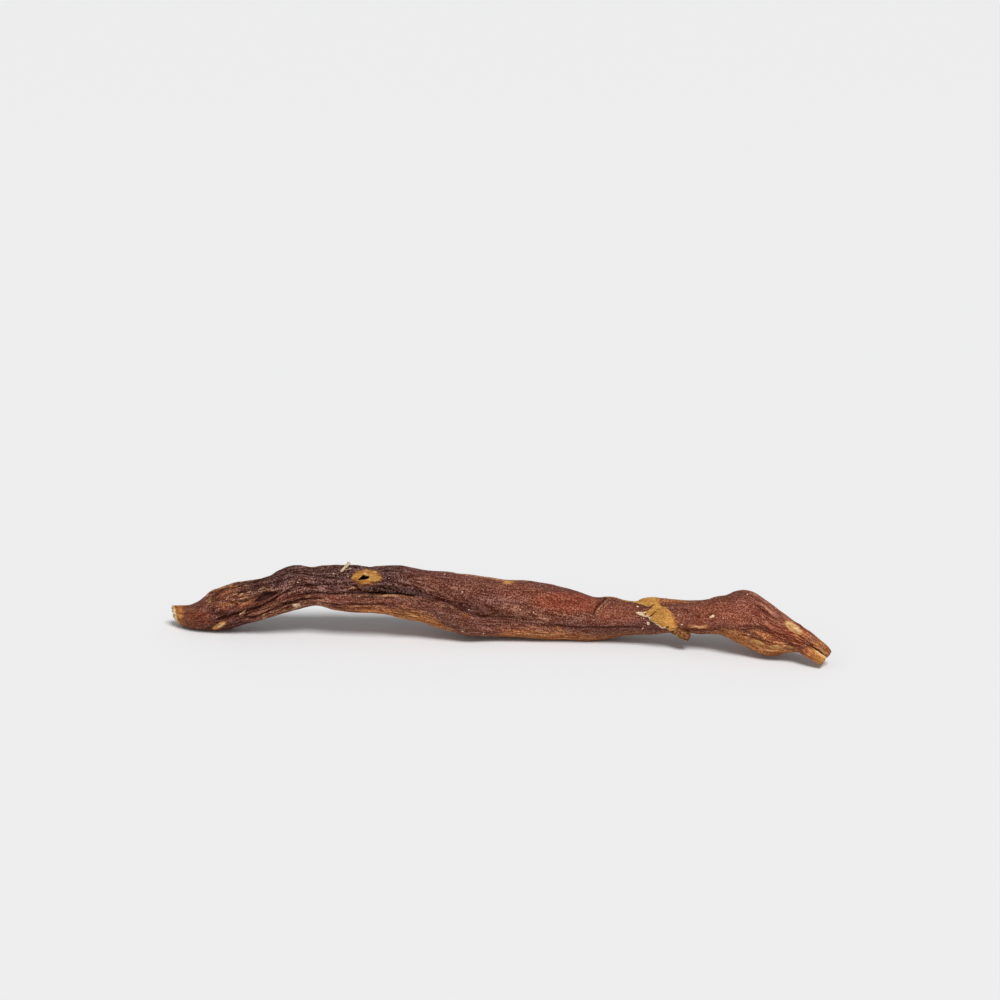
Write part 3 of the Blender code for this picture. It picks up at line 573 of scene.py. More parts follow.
def normals_of(p):
    du = np.gradient(p, axis=0)
    da = (np.roll(p, -1, axis=1) - np.roll(p, 1, axis=1)) / 2
    n = np.cross(da, du)
    n /= np.linalg.norm(n, axis=-1)[..., None] + 1e-12
    out = p - p.mean(axis=1)[:, None, :]
    if (n * out).sum() < 0:
        n = -n
    return n


def wrinkles(k):
    """Fine wrinkles of the dried skin along the root: height in mm, and the same as -1 to 1 for the colours; also how
    deep each point lies in a crease, 0 to 1, for painted shade.
    """
    u = k.u
    wander = 0.55 * noise(u / 9.0, k.rx / 5, k.ry / 5, 21)
    a = k.rx + wander * 1.0
    b = k.ry + 0.55 * noise(u / 7.0, k.ry / 5, k.rx / 5, 22)
    big = noise(u / 11.0, a / 2.6, b / 2.6, 23)
    mid = noise(u / 6.0, a / 1.05, b / 1.05, 24)
    small = noise(u / 3.0, a / 0.52, b / 0.52, 25)
    tiny = noise(u / 1.3, a / 0.30, b / 0.30, 26)
    crease1 = creases(noise(u / 9.0, a / 1.5, b / 1.5, 27), 0.10)
    crease2 = creases(noise(u / 6.0, a / 0.62, b / 0.62, 28), 0.14)
    gate = step01(noise(u / 8.0, a / 2.0, b / 2.0, 29), -0.25, 0.35)
    x = k.mx
    strong = (0.5 + 0.85 * band(x, 200, 222, 352, 430) + 0.25 * band(x, 352, 400, 450, 500) + 0.5 * step01(x, 770, 800)
              - 0.12 * band(x, 500, 540, 650, 700))
    rough = 0.6 + 0.5 * band(x, 200, 222, 352, 420) + 0.4 * step01(x, 772, 800)
    left = band(x, 198, 210, 270, 300)
    scaly = noise(u / 1.3, a / 0.5, b / 0.5, 30) * left
    crease3 = creases(noise(u / 2.6, a / 0.55, b / 0.55, 39), 0.17) * left
    z = (0.10 * big + 0.095 * strong * mid + 0.075 * rough * small + 0.035 * rough * tiny + 0.12 * scaly - 0.09 * crease3
         - 0.12 * strong * crease1 * gate - 0.085 * strong * crease2)
    pit_shade = np.clip(crease1 * gate * strong * 0.65 + 0.45 * crease2 * strong + 0.5 * crease3, 0, 1)
    tone = np.clip(0.5 * mid + 0.45 * small + 0.3 * tiny, -1, 1)
    return z, pit_shade, tone


def paint(k, pit_shade, crest_highlight, hole, hollow):
    """Masks of the skin's colours, each 0 to 1, some of them with painted light and shade."""
    x0, y0, f = k.x, k.y, k.front
    x = x0 + 1.6 * noise(x0 / 6, y0 / 3, 0.1, 31) + 0.7 * noise(x0 / 2.2, y0 / 1.4, 0.6, 32)
    y = y0 + 0.8 * noise(x0 / 6, y0 / 3, 0.9, 33) + 0.4 * noise(x0 / 2.2, y0 / 1.2, 0.4, 34)
    amber, red, dark, pale = (np.zeros(x.shape) for _ in range(4))

    def spot(mask, cx, cy, rx, ry, turn=0.0, amount=1.0, soft=0.5, both=False):
        r = blob(x, y, cx, cy, rx, ry, turn)
        return np.maximum(mask, amount * (1 if both else f) * (1 - step01(r, 1 - soft, 1 + soft)))

    # amber where the root is thin: the left end, the rims, the lower lobe, the pointed end; partly the thin skin's own
    # colour and partly painted light shining through the thin edges
    amber = np.maximum(amber, 1 - step01(x, 178, 189))
    amber = np.maximum(amber, 0.35 * (1 - step01(x, 186, 205)))
    rim = along([(300, 0), (318, 0.6), (332, 2.0), (352, 4.5), (380, 5.5), (398, 7.0), (412, 9.5), (428, 10.5), (440, 8.0), (452, 4.8), (464, 2.6),
                 (480, 1.4), (495, 2.5), (508, 7.0), (530, 10.5), (560, 9.5), (590, 6.5), (620, 4.5), (650, 3.0), (680, 2.0), (700, 3.0),
                 (722, 6.0), (735, 10.0), (750, 13.0), (768, 14.0), (786, 10.0), (800, 7.0), (820, 6.0)], k.mx)
    rim_amount = along([(300, 0.3), (340, 0.6), (395, 0.85), (425, 1.0), (444, 0.85), (462, 0.5), (478, 0.3), (490, 0.35), (515, 0.62), (570, 0.65), (620, 0.5),
                        (700, 0.4), (735, 0.85), (765, 0.95), (800, 0.6), (830, 0.8)], k.mx)
    under = k.under + 1.2 * noise(x0 / 9, y0 / 3, 0.2, 35)
    amber = np.maximum(amber, rim_amount * (1 - step01(under, 0.45 * rim - 1.0, 1.5 * rim + 1.2)) * (1 - 0.45 * k.rear))
    over = k.over + 0.5 * noise(x0 / 5, y0 / 3, 0.2, 36)
    top_rim = along([(210, 0.5), (245, 1.6), (262, 0.8), (300, 0.4), (320, 1.6), (340, 1.6), (352, 0.3), (440, 0.2), (466, 1.4), (500, 1.8), (520, 0.5),
                     (600, 0.3), (606, 1.5), (616, 1.3), (640, 2.0), (660, 2.4), (690, 2.6), (706, 0.4), (790, 0.2), (818, 1.0), (830, 2.0)], k.mx)
    amber = np.maximum(amber, (0.7 - 0.3 * band(x, 668, 680, 700, 712)) * (1 - step01(over, top_rim - 1.2, top_rim + 1.4)) * (top_rim > 0.25) * (0.3 + 0.7 * f))
    amber = np.maximum(amber, 0.8 * step01(x, 806, 826))
    amber = np.maximum(amber, 0.3 * step01(x, 778, 800))
    amber = spot(amber, 676, 626, 6, 7, 0, 0.5, 0.6)
    amber = spot(amber, 668, 601, 12, 4, 0, 0.45, 0.6)
    amber = spot(amber, 467, 615.8, 3.6, 1.4, 8, 0.9)
    pale = spot(pale, 467, 615.8, 3.2, 1.1, 8, 0.55)
    amber = spot(amber, 366, 583.0, 12, 4, 0, 0.5, 0.5)
    amber = spot(amber, 356, 588.2, 8, 1.6, 0, 0.6, 0.5)
    amber = spot(amber, 558.6, 628.4, 5, 1.6, 24, 0.8)
    amber = spot(amber, 420, 613, 22, 3.0, 18, 0.5, 0.6)
    # the orange lip below the fold: painted highlight where it catches the light
    amber = spot(amber, 384, 595.6, 34, 1.2, 2, 0.75, 0.5)
    amber = spot(amber, 362, 606.4, 26, 1.5, 2, 0.55, 0.6)
    amber = spot(amber, 820, 648.5, 9, 5, 40, 0.6, 0.8)
    amber = spot(amber, 676, 600.6, 16, 1.8, 3, 0.8, 0.5)
    amber = spot(amber, 226, 604, 14, 1.8, -12, 0.55, 0.5)
    amber = spot(amber, 232, 589, 16, 3.4, -16, 0.45, 0.6)
    amber = spot(amber, 775, 646, 22, 5, 10, 0.6, 0.5)
    amber = spot(amber, 770, 638, 24, 5, 20, 0.5, 0.8)

    red = spot(red, 568, 602.5, 36, 11, 4, 1.0, 0.8)
    red = spot(red, 520, 592, 34, 9, 6, 0.5, 0.8)
    red = spot(red, 197, 619, 16, 9, 0, 0.9, 0.7)
    red = spot(red, 222, 608, 7, 2.4, -6, 0.7)
    flake = step01(patch_field(FLAKE, x0, y0), -0.5, 0.8)
    red = np.maximum(red * (1 - flake * f), 1.0 * flake * f)
    amber = np.maximum(amber * (1 - flake * f), 0.34 * flake * f)
    red = spot(red, 735, 612, 60, 17, 0, 0.55, 0.8)
    red = spot(red, 625, 612, 36, 12, 0, 0.45, 0.8)
    red = spot(red, 790, 637, 30, 7, 26, 0.75, 0.6)
    red = spot(red, 810, 647, 14, 4, 38, 0.7, 0.6)
    red = spot(red, 345, 600, 40, 6, 4, 0.25, 0.7)
    red = spot(red, 385, 608, 40, 6, 4, 0.3, 0.7)
    red = spot(red, 530, 629, 36, 4, 2, 0.4, 0.7)
    red = spot(red, 432, 621, 16, 3.4, 22, 0.4, 0.7)

    dark = np.maximum(dark, f * 0.78 * band(x, 214, 250, 385, 440) * (1 - 0.85 * step01(y - 0.05 * np.maximum(x - 330, 0), 590, 599)))
    # painted shade in the hollow
    dark = np.maximum(dark, 0.8 * hollow * f)
    # painted shade along the valley of the long fold, darker and redder
    fold_offset, part = line_field(FOLD_SHADE_PATH, x, y)
    fold_shade = f * np.exp(-(fold_offset / 5.4) ** 2) * (1.0 - 0.6 * step01(part, 0.5, 1.0)) * step01(part, 0.0, 0.12) * step01(1 - part, 0.0, 0.15)
    dark = np.maximum(dark, (1.0 - 0.35 * step01(x, 410, 440)) * fold_shade)
    red = np.maximum(red, 0.6 * fold_shade * step01(x, 400, 440))
    dark = spot(dark, 300, 574, 60, 10, 0, 0.7, 0.7)

    dark = dark * (1 - 0.95 * flake * f)

    # pale flesh: golden at about 0.6, cream at 1
    rim_end = 1 - step01(k.u + 0.22 * noise(k.u / 0.5, k.rx * 0.9, k.ry * 0.9, 38), 0.35, 0.80)
    pale = np.maximum(pale, 0.88 * rim_end)
    pale = np.maximum(pale, 0.55 * (1 - step01(k.u, 0.7, 1.5)))
    pale = np.maximum(pale, f * 0.7 * (1 - step01(over, 0.4, 1.4)) * (1 - step01(x, 182, 187)))
    dk = patch_field(KNOT, x0 + 0.7 * noise(x0 / 3, y0 / 2, 0.2, 9), y0 + 0.6 * noise(x0 / 3, y0 / 2, 0.8, 9))
    knot = step01(dk, -2.0, 1.7) * f
    arc = np.exp(-(line_field([(363.5, 573.8), (371, 573.2), (378, 573.6)], x0, y0)[0] / 0.6) ** 2)
    knot_rim = (1 - step01(dk + 0.8 * noise(x0 / 2.5, y0 / 1.5, 0.4, 9), 1.0, 4.6)) * np.maximum(step01(y0, 576.5, 580), step01(x0, 374, 379))
    pale = np.maximum(pale, knot * (0.61 - 0.19 * knot_rim - 0.09 * arc))
    red = np.maximum(red, knot * 0.45 * np.maximum(knot_rim, step01(x0, 376, 382)))
    pale = np.maximum(pale, f * 0.44 * np.exp(-((dk - 0.3) / 1.1) ** 2) * step01(y0, 578, 583))
    # painted highlights on the knot's upper side, round its hole
    pale = spot(pale, 360.5, 576.6, 2.6, 0.9, -24, 0.84)
    pale = spot(pale, 364.6, 572.8, 1.0, 2.4, 18, 0.84)
    pale = spot(pale, 367.2, 575.2, 1.7, 0.9, 0, 0.84)
    pale = spot(pale, 375, 571.9, 2.8, 0.8, 6, 0.84)
    pale = spot(pale, 372, 577, 5.5, 2.0, 0, 0.62)
    pale = spot(pale, 355, 576.6, 3.4, 1.6, 0, 0.62)
    pale = spot(pale, 219.3, 625.6, 7.4, 2.6, -27, 0.76, 0.35)
    pale = spot(pale, 221, 625.2, 4.0, 1.0, -27, 0.9, 0.5)
    pale = spot(pale, 239.8, 613.8, 1.7, 1.3, -30, 1.0)
    pale = spot(pale, 243.6, 611.6, 3.6, 0.9, -35, 0.9)
    pale = spot(pale, 296.5, 605.5, 4.0, 2.0, -14, 0.92, 0.4)
    pale = spot(pale, 508.5, 582.3, 6.4, 1.8, -6, 0.55, 0.4)
    pale = spot(pale, 711.9, 616.2, 3.6, 1.9, -25, 0.95, 0.25)
    red = spot(red, 794.0, 628.0, 15, 8.0, 36, 1.0, 0.3)
    red = spot(red, 699, 627, 15, 4.5, 0, 0.8, 0.4)
    pale = spot(pale, 794.0, 628.0, 11.6, 5.2, 36, 0.72, 0.9)
    pale = spot(pale, 796.0, 629.0, 8.6, 3.2, 37, 0.80, 0.9)
    pale = spot(pale, 797.6, 630.6, 5.0, 1.4, 37, 0.88, 0.9)
    pale = spot(pale, 790.0, 624.6, 5.0, 2.4, 28, 0.80, 0.9)
    red = spot(red, 768, 645.0, 26, 6.5, 12, 0.6, 0.5)
    pale = spot(pale, 757, 642.2, 9.0, 3.0, 12, 0.70, 0.95)
    pale = spot(pale, 776, 647.4, 9.5, 2.8, 10, 0.66, 0.95)
    pale = spot(pale, 741, 637.6, 7.0, 1.8, 14, 0.45, 0.95)
    # the waist ridge: pale tan, with a painted highlight along its top
    ridge = line_field([(684, 626.4), (690, 627.2), (695, 626.2), (699, 626.8), (703.6, 627.8), (708, 626.4), (712, 624.4)], x0, y0)
    pale = np.maximum(pale, f * 0.70 * np.exp(-((ridge[0] - 0.2) / 1.3) ** 2) * band(x, 685, 694, 704, 714))
    pale = spot(pale, 699.5, 627.0, 6, 1.4, 6, 0.78, 0.6)
    pale = np.maximum(pale, f * 0.62 * (1 - step01(over, 0.9, 2.3)) * band(x, 616, 622, 640, 652))
    # painted highlight where the skin meets the top edge of the bare core
    core_edge_highlight = line_field([(818.0, 650.6), (820.5, 653.2), (823.4, 655.2), (825.6, 657.2)], x0, y0)
    pale = np.maximum(pale, f * 0.78 * np.exp(-(core_edge_highlight[0] / 0.75) ** 2) * step01(x0, 816.5, 818.5))
    pale = spot(pale, 705, 602.6, 5, 1.6, 0, 0.4, 0.5)
    pale = spot(pale, 640, 602.0, 14, 1.6, 8, 0.7, 0.4)
    pale = spot(pale, 790, 647.5, 5, 1.2, 20, 0.6, 0.6)
    pale = np.clip(pale, 0, 1) * (1 - hole)

    # the hidden side: amber, red and darker patches at random, and a few pale scars
    rear = k.rear
    n1 = noise(k.u / 13, k.rx / 2.2, k.ry / 2.2, 41)
    amber = np.maximum(amber, rear * 0.5 * step01(n1, 0.1, 0.65))
    red = np.maximum(red, rear * 0.6 * step01(noise(k.u / 15, k.rx / 3, k.ry / 3, 42), 0.0, 0.5))
    dark = np.maximum(dark, rear * 0.6 * step01(noise(k.u / 17, k.rx / 3, k.ry / 3, 43), 0.05, 0.5))
    r = blob(x0, k.h * 16, 452.0, -1.5, 10.0, 5.0) + 0.25 * noise(x0 / 4, k.h * 5, 0.2, 44)
    pale = np.maximum(pale, rear * 0.6 * (1 - step01(r, 0.7, 1.1)))
    red = np.maximum(red, rear * (1 - step01(r, 0.9, 1.4)))
    for cx, ch, rx, ry in ((262, 0.5, 5, 0.07), (610, -0.1, 6, 0.08), (700, 0.55, 4, 0.06), (330, 0.75, 7, 0.06), (545, 0.8, 5, 0.05)):
        r = blob(x, k.h + 0.03 * noise(x0 / 3, k.h * 8, 0.2, 45), cx, ch, rx, ry)
        r = r + 0.2 * noise(k.u / 1.5, k.rx, k.ry, 48)
        pale = np.maximum(pale, rear * 0.72 * (1 - step01(r, 0.3, 1.4)))
        red = np.maximum(red, rear * (1 - step01(r, 1.0, 1.6)))
    # tan flecks scattered over the frosted left part
    zone = band(x, 202, 210, 256, 272) * (1 - step01(y, 600, 608)) * f
    fleck = step01(noise(k.u / 1.9, k.rx / 0.55, k.ry / 0.55, 46), 0.08, 0.5)
    amber = np.maximum(amber, 0.15 + 0.15 * fleck * zone) * zone + amber * (1 - zone)
    amber = amber * (1 - 0.9 * hollow * f)
    fleck2 = step01(noise(k.u / 1.3, k.rx / 0.45, k.ry / 0.45, 47), 0.5, 0.7)
    pale = np.maximum(pale, 0.35 * fleck2 * band(x, 215, 240, 330, 352) * f)
    dark = spot(dark, 829.5, 651.0, 2.4, 4.0, 10, 0.2, 0.6)

    # the third layer: flecks, long lines, smooth places, and lighter or darker than usual, partly the skin's own tone
    # and partly painted light and shade (0.5 is neither)
    flecks = band(x, 200, 208, 254, 276) * (1 - step01(y, 599, 608)) * f * (1 - hollow) * (1 - flake)
    flecks = np.maximum(flecks, 0.75 * f * band(x, 246, 262, 312, 345) * (1 - step01(k.under, 9, 14)))
    lines = np.clip(0.2 + 0.45 * band(x, 186, 194, 208, 218) + 0.7 * band(x, 255, 285, 395, 440) + 0.35 * band(x, 400, 430, 540, 610) + 0.6 * np.exp(-(fold_offset / 8.0) ** 2) + 0.7 * step01(x, 740, 775), 0, 1)
    lines = lines - 0.45 * band(x, 330, 350, 430, 450) * band(y0 - 0.05 * (x0 - 350), 595, 599, 606, 609)
    lines = np.maximum(np.clip(lines, 0, 1) * f, 0.45 * rear)
    smooth = np.maximum.reduce([0.9 * hollow, 0.8 * knot, 0.8 * flake, 0.5 * (1 - step01(x, 178, 190)), 0.34 * step01(x, 700, 735), 0.6 * step01(x, 752, 778),
                                 0.35 * f * band(x, 415, 440, 505, 540) * step01(-fold_offset, -6.0, 0.0) * step01(fold_offset, -20, -10), 0.45 * f * np.exp(-(fold_offset / 4.0) ** 2) * step01(x, 400, 440)])
    # lighter at the cut end, and a painted highlight along the top edge of the shoulder
    lum = 0.5 + 0.25 * rim_end + 0.22 * f * (1 - step01(over, 1.2, 3.0)) * band(x, 742, 752, 782, 796)
    for cx, cy, rx, ry, turn, more in TONE_LIGHT_AND_SHADE:
        lum = lum + more * f * (1 - step01(blob(x, y, cx, cy, rx, ry, turn), 0.2, 1.6))
    # painted shade along the fold valley
    lum = lum - 0.18 * f * np.exp(-(fold_offset / 4.4) ** 2) * band(part, 0.02, 0.12, 0.7, 0.98)
    return amber, red, dark, np.clip(pale, 0, 1), flecks, lines, smooth, np.maximum(lum, 0.26)


# ---------------------------------------------------------------------------------------
# Meshes.
# ---------------------------------------------------------------------------------------
def close_end(ring, way, profile, h, seed, bulge=0.0):
    """Rows that close an end of the skin. Each step of the profile is how large the row is, and how far it lies out along way in mm."""
    centre = ring.mean(axis=0)
    rows = []
    m = len(ring)
    a = np.arange(m) * (2 * math.pi / m)
    ragged = noise(2.2 * np.cos(a), 2.2 * np.sin(a), 0.3, seed) + 0.6 * noise(6 * np.cos(a), 6 * np.sin(a), 0.3, seed + 1)
    for size, out in profile:
        shift = out * (1.0 + 0.55 * ragged * size) + bulge * size * (1 - h**2) * min(1.0, 8 * (1 - size))
        rows.append(centre + (ring - centre) * size + shift[:, None] * way)
    return rows


def grid_mesh(name, grid, first, last, layers, end_values):
    """A closed mesh through rows of points in mm, fanned to the points first and last; layers are named arrays on the grid."""
    n, m = grid.shape[:2]
    verts = np.vstack([grid.reshape(-1, 3), first[None], last[None]]) * MM
    i = np.arange(n - 1)[:, None] * m
    j = np.arange(m)[None, :]
    jn = (j + 1) % m
    quads = np.stack([i + j, i + m + j, i + m + jn, i + jn], axis=-1).reshape(-1, 4)
    j = np.arange(m)
    fan0 = np.stack([np.full(m, n * m), j, (j + 1) % m], axis=-1)
    fan1 = np.stack([np.full(m, n * m + 1), (n - 1) * m + (j + 1) % m, (n - 1) * m + j], axis=-1)
    mesh = bpy.data.meshes.new(name)
    nq, nt = len(quads), len(fan0) + len(fan1)
    mesh.vertices.add(len(verts))
    mesh.vertices.foreach_set("co", verts.ravel())
    loops = np.concatenate([quads.ravel(), fan0.ravel(), fan1.ravel()])
    mesh.loops.add(len(loops))
    mesh.loops.foreach_set("vertex_index", loops.astype(np.int32))
    starts = np.concatenate([np.arange(nq) * 4, nq * 4 + np.arange(nt) * 3])
    mesh.polygons.add(nq + nt)
    mesh.polygons.foreach_set("loop_start", starts.astype(np.int32))
    mesh.update(calc_edges=True)
    for layer, values in layers.items():
        flat = values.reshape(n * m, -1)
        e0, e1 = end_values[layer]
        store(mesh, layer, np.vstack([flat, np.atleast_2d(e0), np.atleast_2d(e1)]))
    return finish_piece(name, mesh)


def store(mesh, layer, values):
    """A named point layer: three or four numbers a point."""
    if values.shape[1] == 3:
        att = mesh.attributes.new(layer, "FLOAT_VECTOR", "POINT")
        att.data.foreach_set("vector", values.astype(np.float32).ravel())
    else:
        att = mesh.attributes.new(layer, "FLOAT_COLOR", "POINT")
        att.data.foreach_set("color", values.astype(np.float32).ravel())


def finish_piece(name, mesh):
    bm = bmesh.new()
    bm.from_mesh(mesh)
    bmesh.ops.recalc_face_normals(bm, faces=bm.faces)
    bm.to_mesh(mesh)
    bm.free()
    mesh.shade_smooth()
    obj = bpy.data.objects.new(name, mesh)
    bpy.context.scene.collection.objects.link(obj)
    return obj


def build_skin():
    k = Skin()
    deep, pit_shade, crest_highlight, hole, hollow = relief(k)
    base = to_frame(k.x, k.y, k.depth + deep)
    z, crease_shade, tone = wrinkles(k)
    calm = (1 - 0.85 * hollow) * (1 - 0.8 * hole)
    calm = calm * (1 - 0.75 * step01(patch_field(KNOT, k.x, k.y), -1.5, 1.0) * k.front)
    calm = calm * (1 - 0.9 * step01(patch_field(FLAKE, k.x, k.y), -0.8, 0.6) * k.front)
    r = blob(k.x, k.y, 219.0, 625.9, 8.6, 2.9, -27.0)
    calm = calm * (1 - 0.8 * (1 - step01(r, 0.7, 1.3)) * k.front)
    edge = 1 - 0.55 * np.exp(-((1 - np.abs(k.h)) / 0.05) ** 2)
    ends = step01(k.u, 0.0, 1.2) * step01(k.u.max() - k.u, 0.0, 1.0)
    pts = base + normals_of(base) * (z * calm * edge * (0.25 + 0.75 * ends))[..., None]
    out = pts[0].mean(axis=0) - pts[9].mean(axis=0)
    ragged = (0.42 * noise(k.rx * 0.8, k.ry * 0.8, 0.4, 57) + 0.22 * noise(k.rx * 2.0, k.ry * 2.0, 0.7, 58)) * (1 - step01(k.u, 0.0, 1.5)) * (1 - 0.8 * step01(k.h, 0.6, 0.9))
    pts = pts + ragged[..., None] * out / np.linalg.norm(out)
    pit_shade = np.clip(np.maximum(pit_shade, 0.8 * crease_shade * calm), 0, 1)
    amber, red, dark, pale, flecks, lines, smooth, lum = paint(k, pit_shade, crest_highlight, hole, hollow)
    straight = np.stack([k.u, k.rx - deep, k.ry + 0.5 * deep * k.front], axis=-1)      # the grain isn't drawn out on steep faces
    paint1 = np.stack([amber, red, dark, pale], axis=-1)
    paint2 = np.stack([pit_shade, crest_highlight, 0.5 + 0.5 * tone * calm, np.maximum(hole, 0)], axis=-1)
    paint3 = np.stack([flecks, lines, smooth, lum], axis=-1)

    way0 = pts[0].mean(axis=0) - pts[6].mean(axis=0)
    way0 /= np.linalg.norm(way0)
    way1 = pts[-1].mean(axis=0) - pts[-6].mean(axis=0)
    way1 /= np.linalg.norm(way1)
    prof0 = [(0.985, 0.10), (0.94, 0.20), (0.85, 0.22), (0.72, 0.10), (0.5, -0.10), (0.25, -0.16)]
    prof1 = [(0.96, 0.06), (0.86, 0.10), (0.68, -0.04), (0.45, -0.40), (0.25, -0.55)]
    rows0 = close_end(pts[0], way0, prof0, k.h[0], 51, 0.30)
    rows1 = close_end(pts[-1], way1, prof1, k.h[-1], 53, 0.1)
    grid = np.array(rows0[::-1] + list(pts) + rows1)

    def extend(values, v0, v1):
        a = np.array([values[0] * (1 - w) + np.array(v) * w for v, w in v0][::-1])
        b = np.array([values[-1] * (1 - w) + np.array(v) * w for v, w in v1])
        return np.concatenate([a, values, b])
    cream, flesh, dull = (1, 0, 0, 0.9), (1, 0.2, 0, 0.55), (1, 0.2, 0.3, 0.3)
    paint1 = extend(paint1, [(cream, 1), (cream, 1), (cream, 1), (flesh, 1), (dull, 1), (dull, 1)],
                    [((1, 0, 0, 0.45), 1), ((1, 0, 0, 0.5), 1), (flesh, 1), (dull, 1), (dull, 1)])
    calm2 = (0, 0, 0.5, 0)
    paint2 = extend(paint2, [(calm2, 1)] * 3 + [((0.3, 0, 0.4, 0), 1)] * 3, [(calm2, 1)] * 2 + [((0.4, 0, 0.4, 0), 1)] * 3)
    calm3 = (0, 0.3, 0.5, 0.55)
    paint3 = extend(paint3, [(calm3, 1)] * 6, [(calm3, 1)] * 5)
    s0 = np.array([straight[0] * [0, s, s] + [straight[0, 0, 0] - 0.15 * (i + 1), 0, 0] for i, (s, _) in enumerate(prof0)][::-1])
    s1 = np.array([straight[-1] * [0, s, s] + [straight[-1, 0, 0] + 0.15 * (i + 1), 0, 0] for i, (s, _) in enumerate(prof1)])
    straight = np.concatenate([s0, straight, s1])
    first = rows0[-1].mean(axis=0) - way0 * 0.02
    last = rows1[-1].mean(axis=0) - way1 * 0.02
    grid[..., 2] = np.maximum(grid[..., 2], 0.0)
    obj = grid_mesh("root_skin", grid, first, last, {"straight": straight, "paint": paint1, "paint2": paint2, "paint3": paint3},
                    {"straight": ((-1.2, 0, 0), (straight[-1, 0, 0] + 0.2, 0, 0)), "paint": (dull, dull), "paint2": ((0.4, 0, 0.4, 0), (0.5, 0, 0.4, 0)),
                     "paint3": (calm3, calm3)})
    return k, pts, obj


k, skin_points, root = build_skin()

# Where the front of the root lies, for the small pieces that sit on it.
EYE_POINT = np.array([-ORIGIN[0], -EYE * math.cos(TILT) - ORIGIN[1], EYE * math.sin(TILT) - FLOOR])
PLANE_POINT = to_frame(500.0, 500.0, 0.0)
_verts = [Vector(v.co) / MM for v in root.data.vertices]
_tree = BVHTree.FromPolygons(_verts, [tuple(p.vertices) for p in root.data.polygons])


def depth_at(x, y, miss=None):
    """Depth of the front of the skin at a place in the drawing."""
    way = Vector(to_frame(x, y, 0.0) - EYE_POINT).normalized()
    hit, normal, index, far = _tree.ray_cast(Vector(EYE_POINT), way)
    if hit is None:
        return miss
    return float((np.array(hit) - PLANE_POINT) @ AWAY)


def depths_at(points):
    """The same for many places; one beside the root takes the depth of the nearest place that is on it."""
    out = np.array([depth_at(x, y, math.nan) for x, y in points])
    good = ~np.isnan(out)
    for i in np.nonzero(~good)[0]:
        out[i] = out[good][np.argmin(np.hypot(*(points[good] - points[i]).T))]
    return out


def flap(name, outline, lift, colour, seed, rough_edge=0.28, spacing=0.75):
    """A flap of torn skin on the front: a closed sheet with its own edge. lift(x, y) is how far it stands off in mm, colour(x, y, edge) its masks."""
    rng = np.random.RandomState(seed)
    edge = []
    for (ax, ay), (bx, by) in zip(outline, outline[1:] + outline[:1]):
        n = max(1, int(round(math.hypot(bx - ax, by - ay) / 0.55)))
        for i in range(n):
            t = i / n
            edge.append((ax + (bx - ax) * t, ay + (by - ay) * t))
    edge = np.array(edge)
    way = np.roll(edge, -1, axis=0) - np.roll(edge, 1, axis=0)
    side = np.stack([way[:, 1], -way[:, 0]], axis=-1) / (np.linalg.norm(way, axis=1)[:, None] + 1e-9)
    edge = edge + side * (rough_edge * noise(edge[:, 0] / 1.3, edge[:, 1] / 1.3, 0.5, seed))[:, None]
    poly = [tuple(p) for p in edge]
    lo, hi = edge.min(axis=0), edge.max(axis=0)
    gx, gy = np.meshgrid(np.arange(lo[0], hi[0], spacing), np.arange(lo[1], hi[1], spacing))
    gx = gx + rng.uniform(-0.2, 0.2, gx.shape) * spacing
    gy = gy + rng.uniform(-0.2, 0.2, gy.shape) * spacing
    inside = patch_field(poly, gx, gy) > 0.4
    inner = np.stack([gx[inside], gy[inside]], axis=-1)
    pts2 = np.vstack([edge, inner])
    ne = len(edge)
    out = delaunay_2d_cdt([Vector(p) for p in pts2], [(i, (i + 1) % ne) for i in range(ne)], [list(range(ne))], 1, 1e-5)
    co2 = np.array([tuple(v) for v in out[0]])
    tris = [tuple(f) for f in out[2]]
    d0 = depths_at(co2)
    inset = np.abs(patch_field(poly, co2[:, 0], co2[:, 1]))
    up = lift(co2[:, 0], co2[:, 1]) * (0.7 + 0.3 * step01(inset, 0.0, 1.4))
    up = up + 0.035 * noise(co2[:, 0] / 2.4, co2[:, 1] / 1.6, 0.2, seed + 3) + 0.02 * noise(co2[:, 0] / 1.1, co2[:, 1] / 0.8, 0.2, seed + 4)
    top = to_frame(co2[:, 0], co2[:, 1], d0 - up)
    low = to_frame(co2[:, 0], co2[:, 1], d0 + 0.35)
    n = len(co2)
    faces = [tuple(t) for t in tris] + [tuple(n + i for i in t[::-1]) for t in tris]
    count = {}
    for t in tris:
        for a, b in ((t[0], t[1]), (t[1], t[2]), (t[2], t[0])):
            count[(a, b)] = 1
    for a, b in list(count):
        if (b, a) not in count:
            faces.append((b, a, n + a, n + b))
    mesh = bpy.data.meshes.new(name)
    mesh.from_pydata([tuple(p * MM) for p in np.vstack([top, low])], [], faces)
    mesh.update()
    masks = colour(co2[:, 0], co2[:, 1], inset)
    p1 = np.stack([masks[0], masks[1], masks[2], masks[3]], axis=-1)
    p2 = np.stack([masks[4], 0 * masks[4], 0.5 + 0.35 * noise(co2[:, 0] / 2.0, co2[:, 1] / 1.3, 0.7, seed + 6), 0 * masks[4]], axis=-1)
    st = np.stack([co2[:, 0] * UNIT, co2[:, 1] * UNIT, 0 * co2[:, 0]], axis=-1)
    store(mesh, "paint", np.vstack([p1, p1]))
    p3 = np.stack([0 * inset, 0 * inset + 0.2, 0 * inset + 0.6, masks[5]], axis=-1)
    store(mesh, "paint2", np.vstack([p2, p2]))
    store(mesh, "paint3", np.vstack([p3, p3]))
    store(mesh, "straight", np.vstack([st, st]))
    return finish_piece(name, mesh)


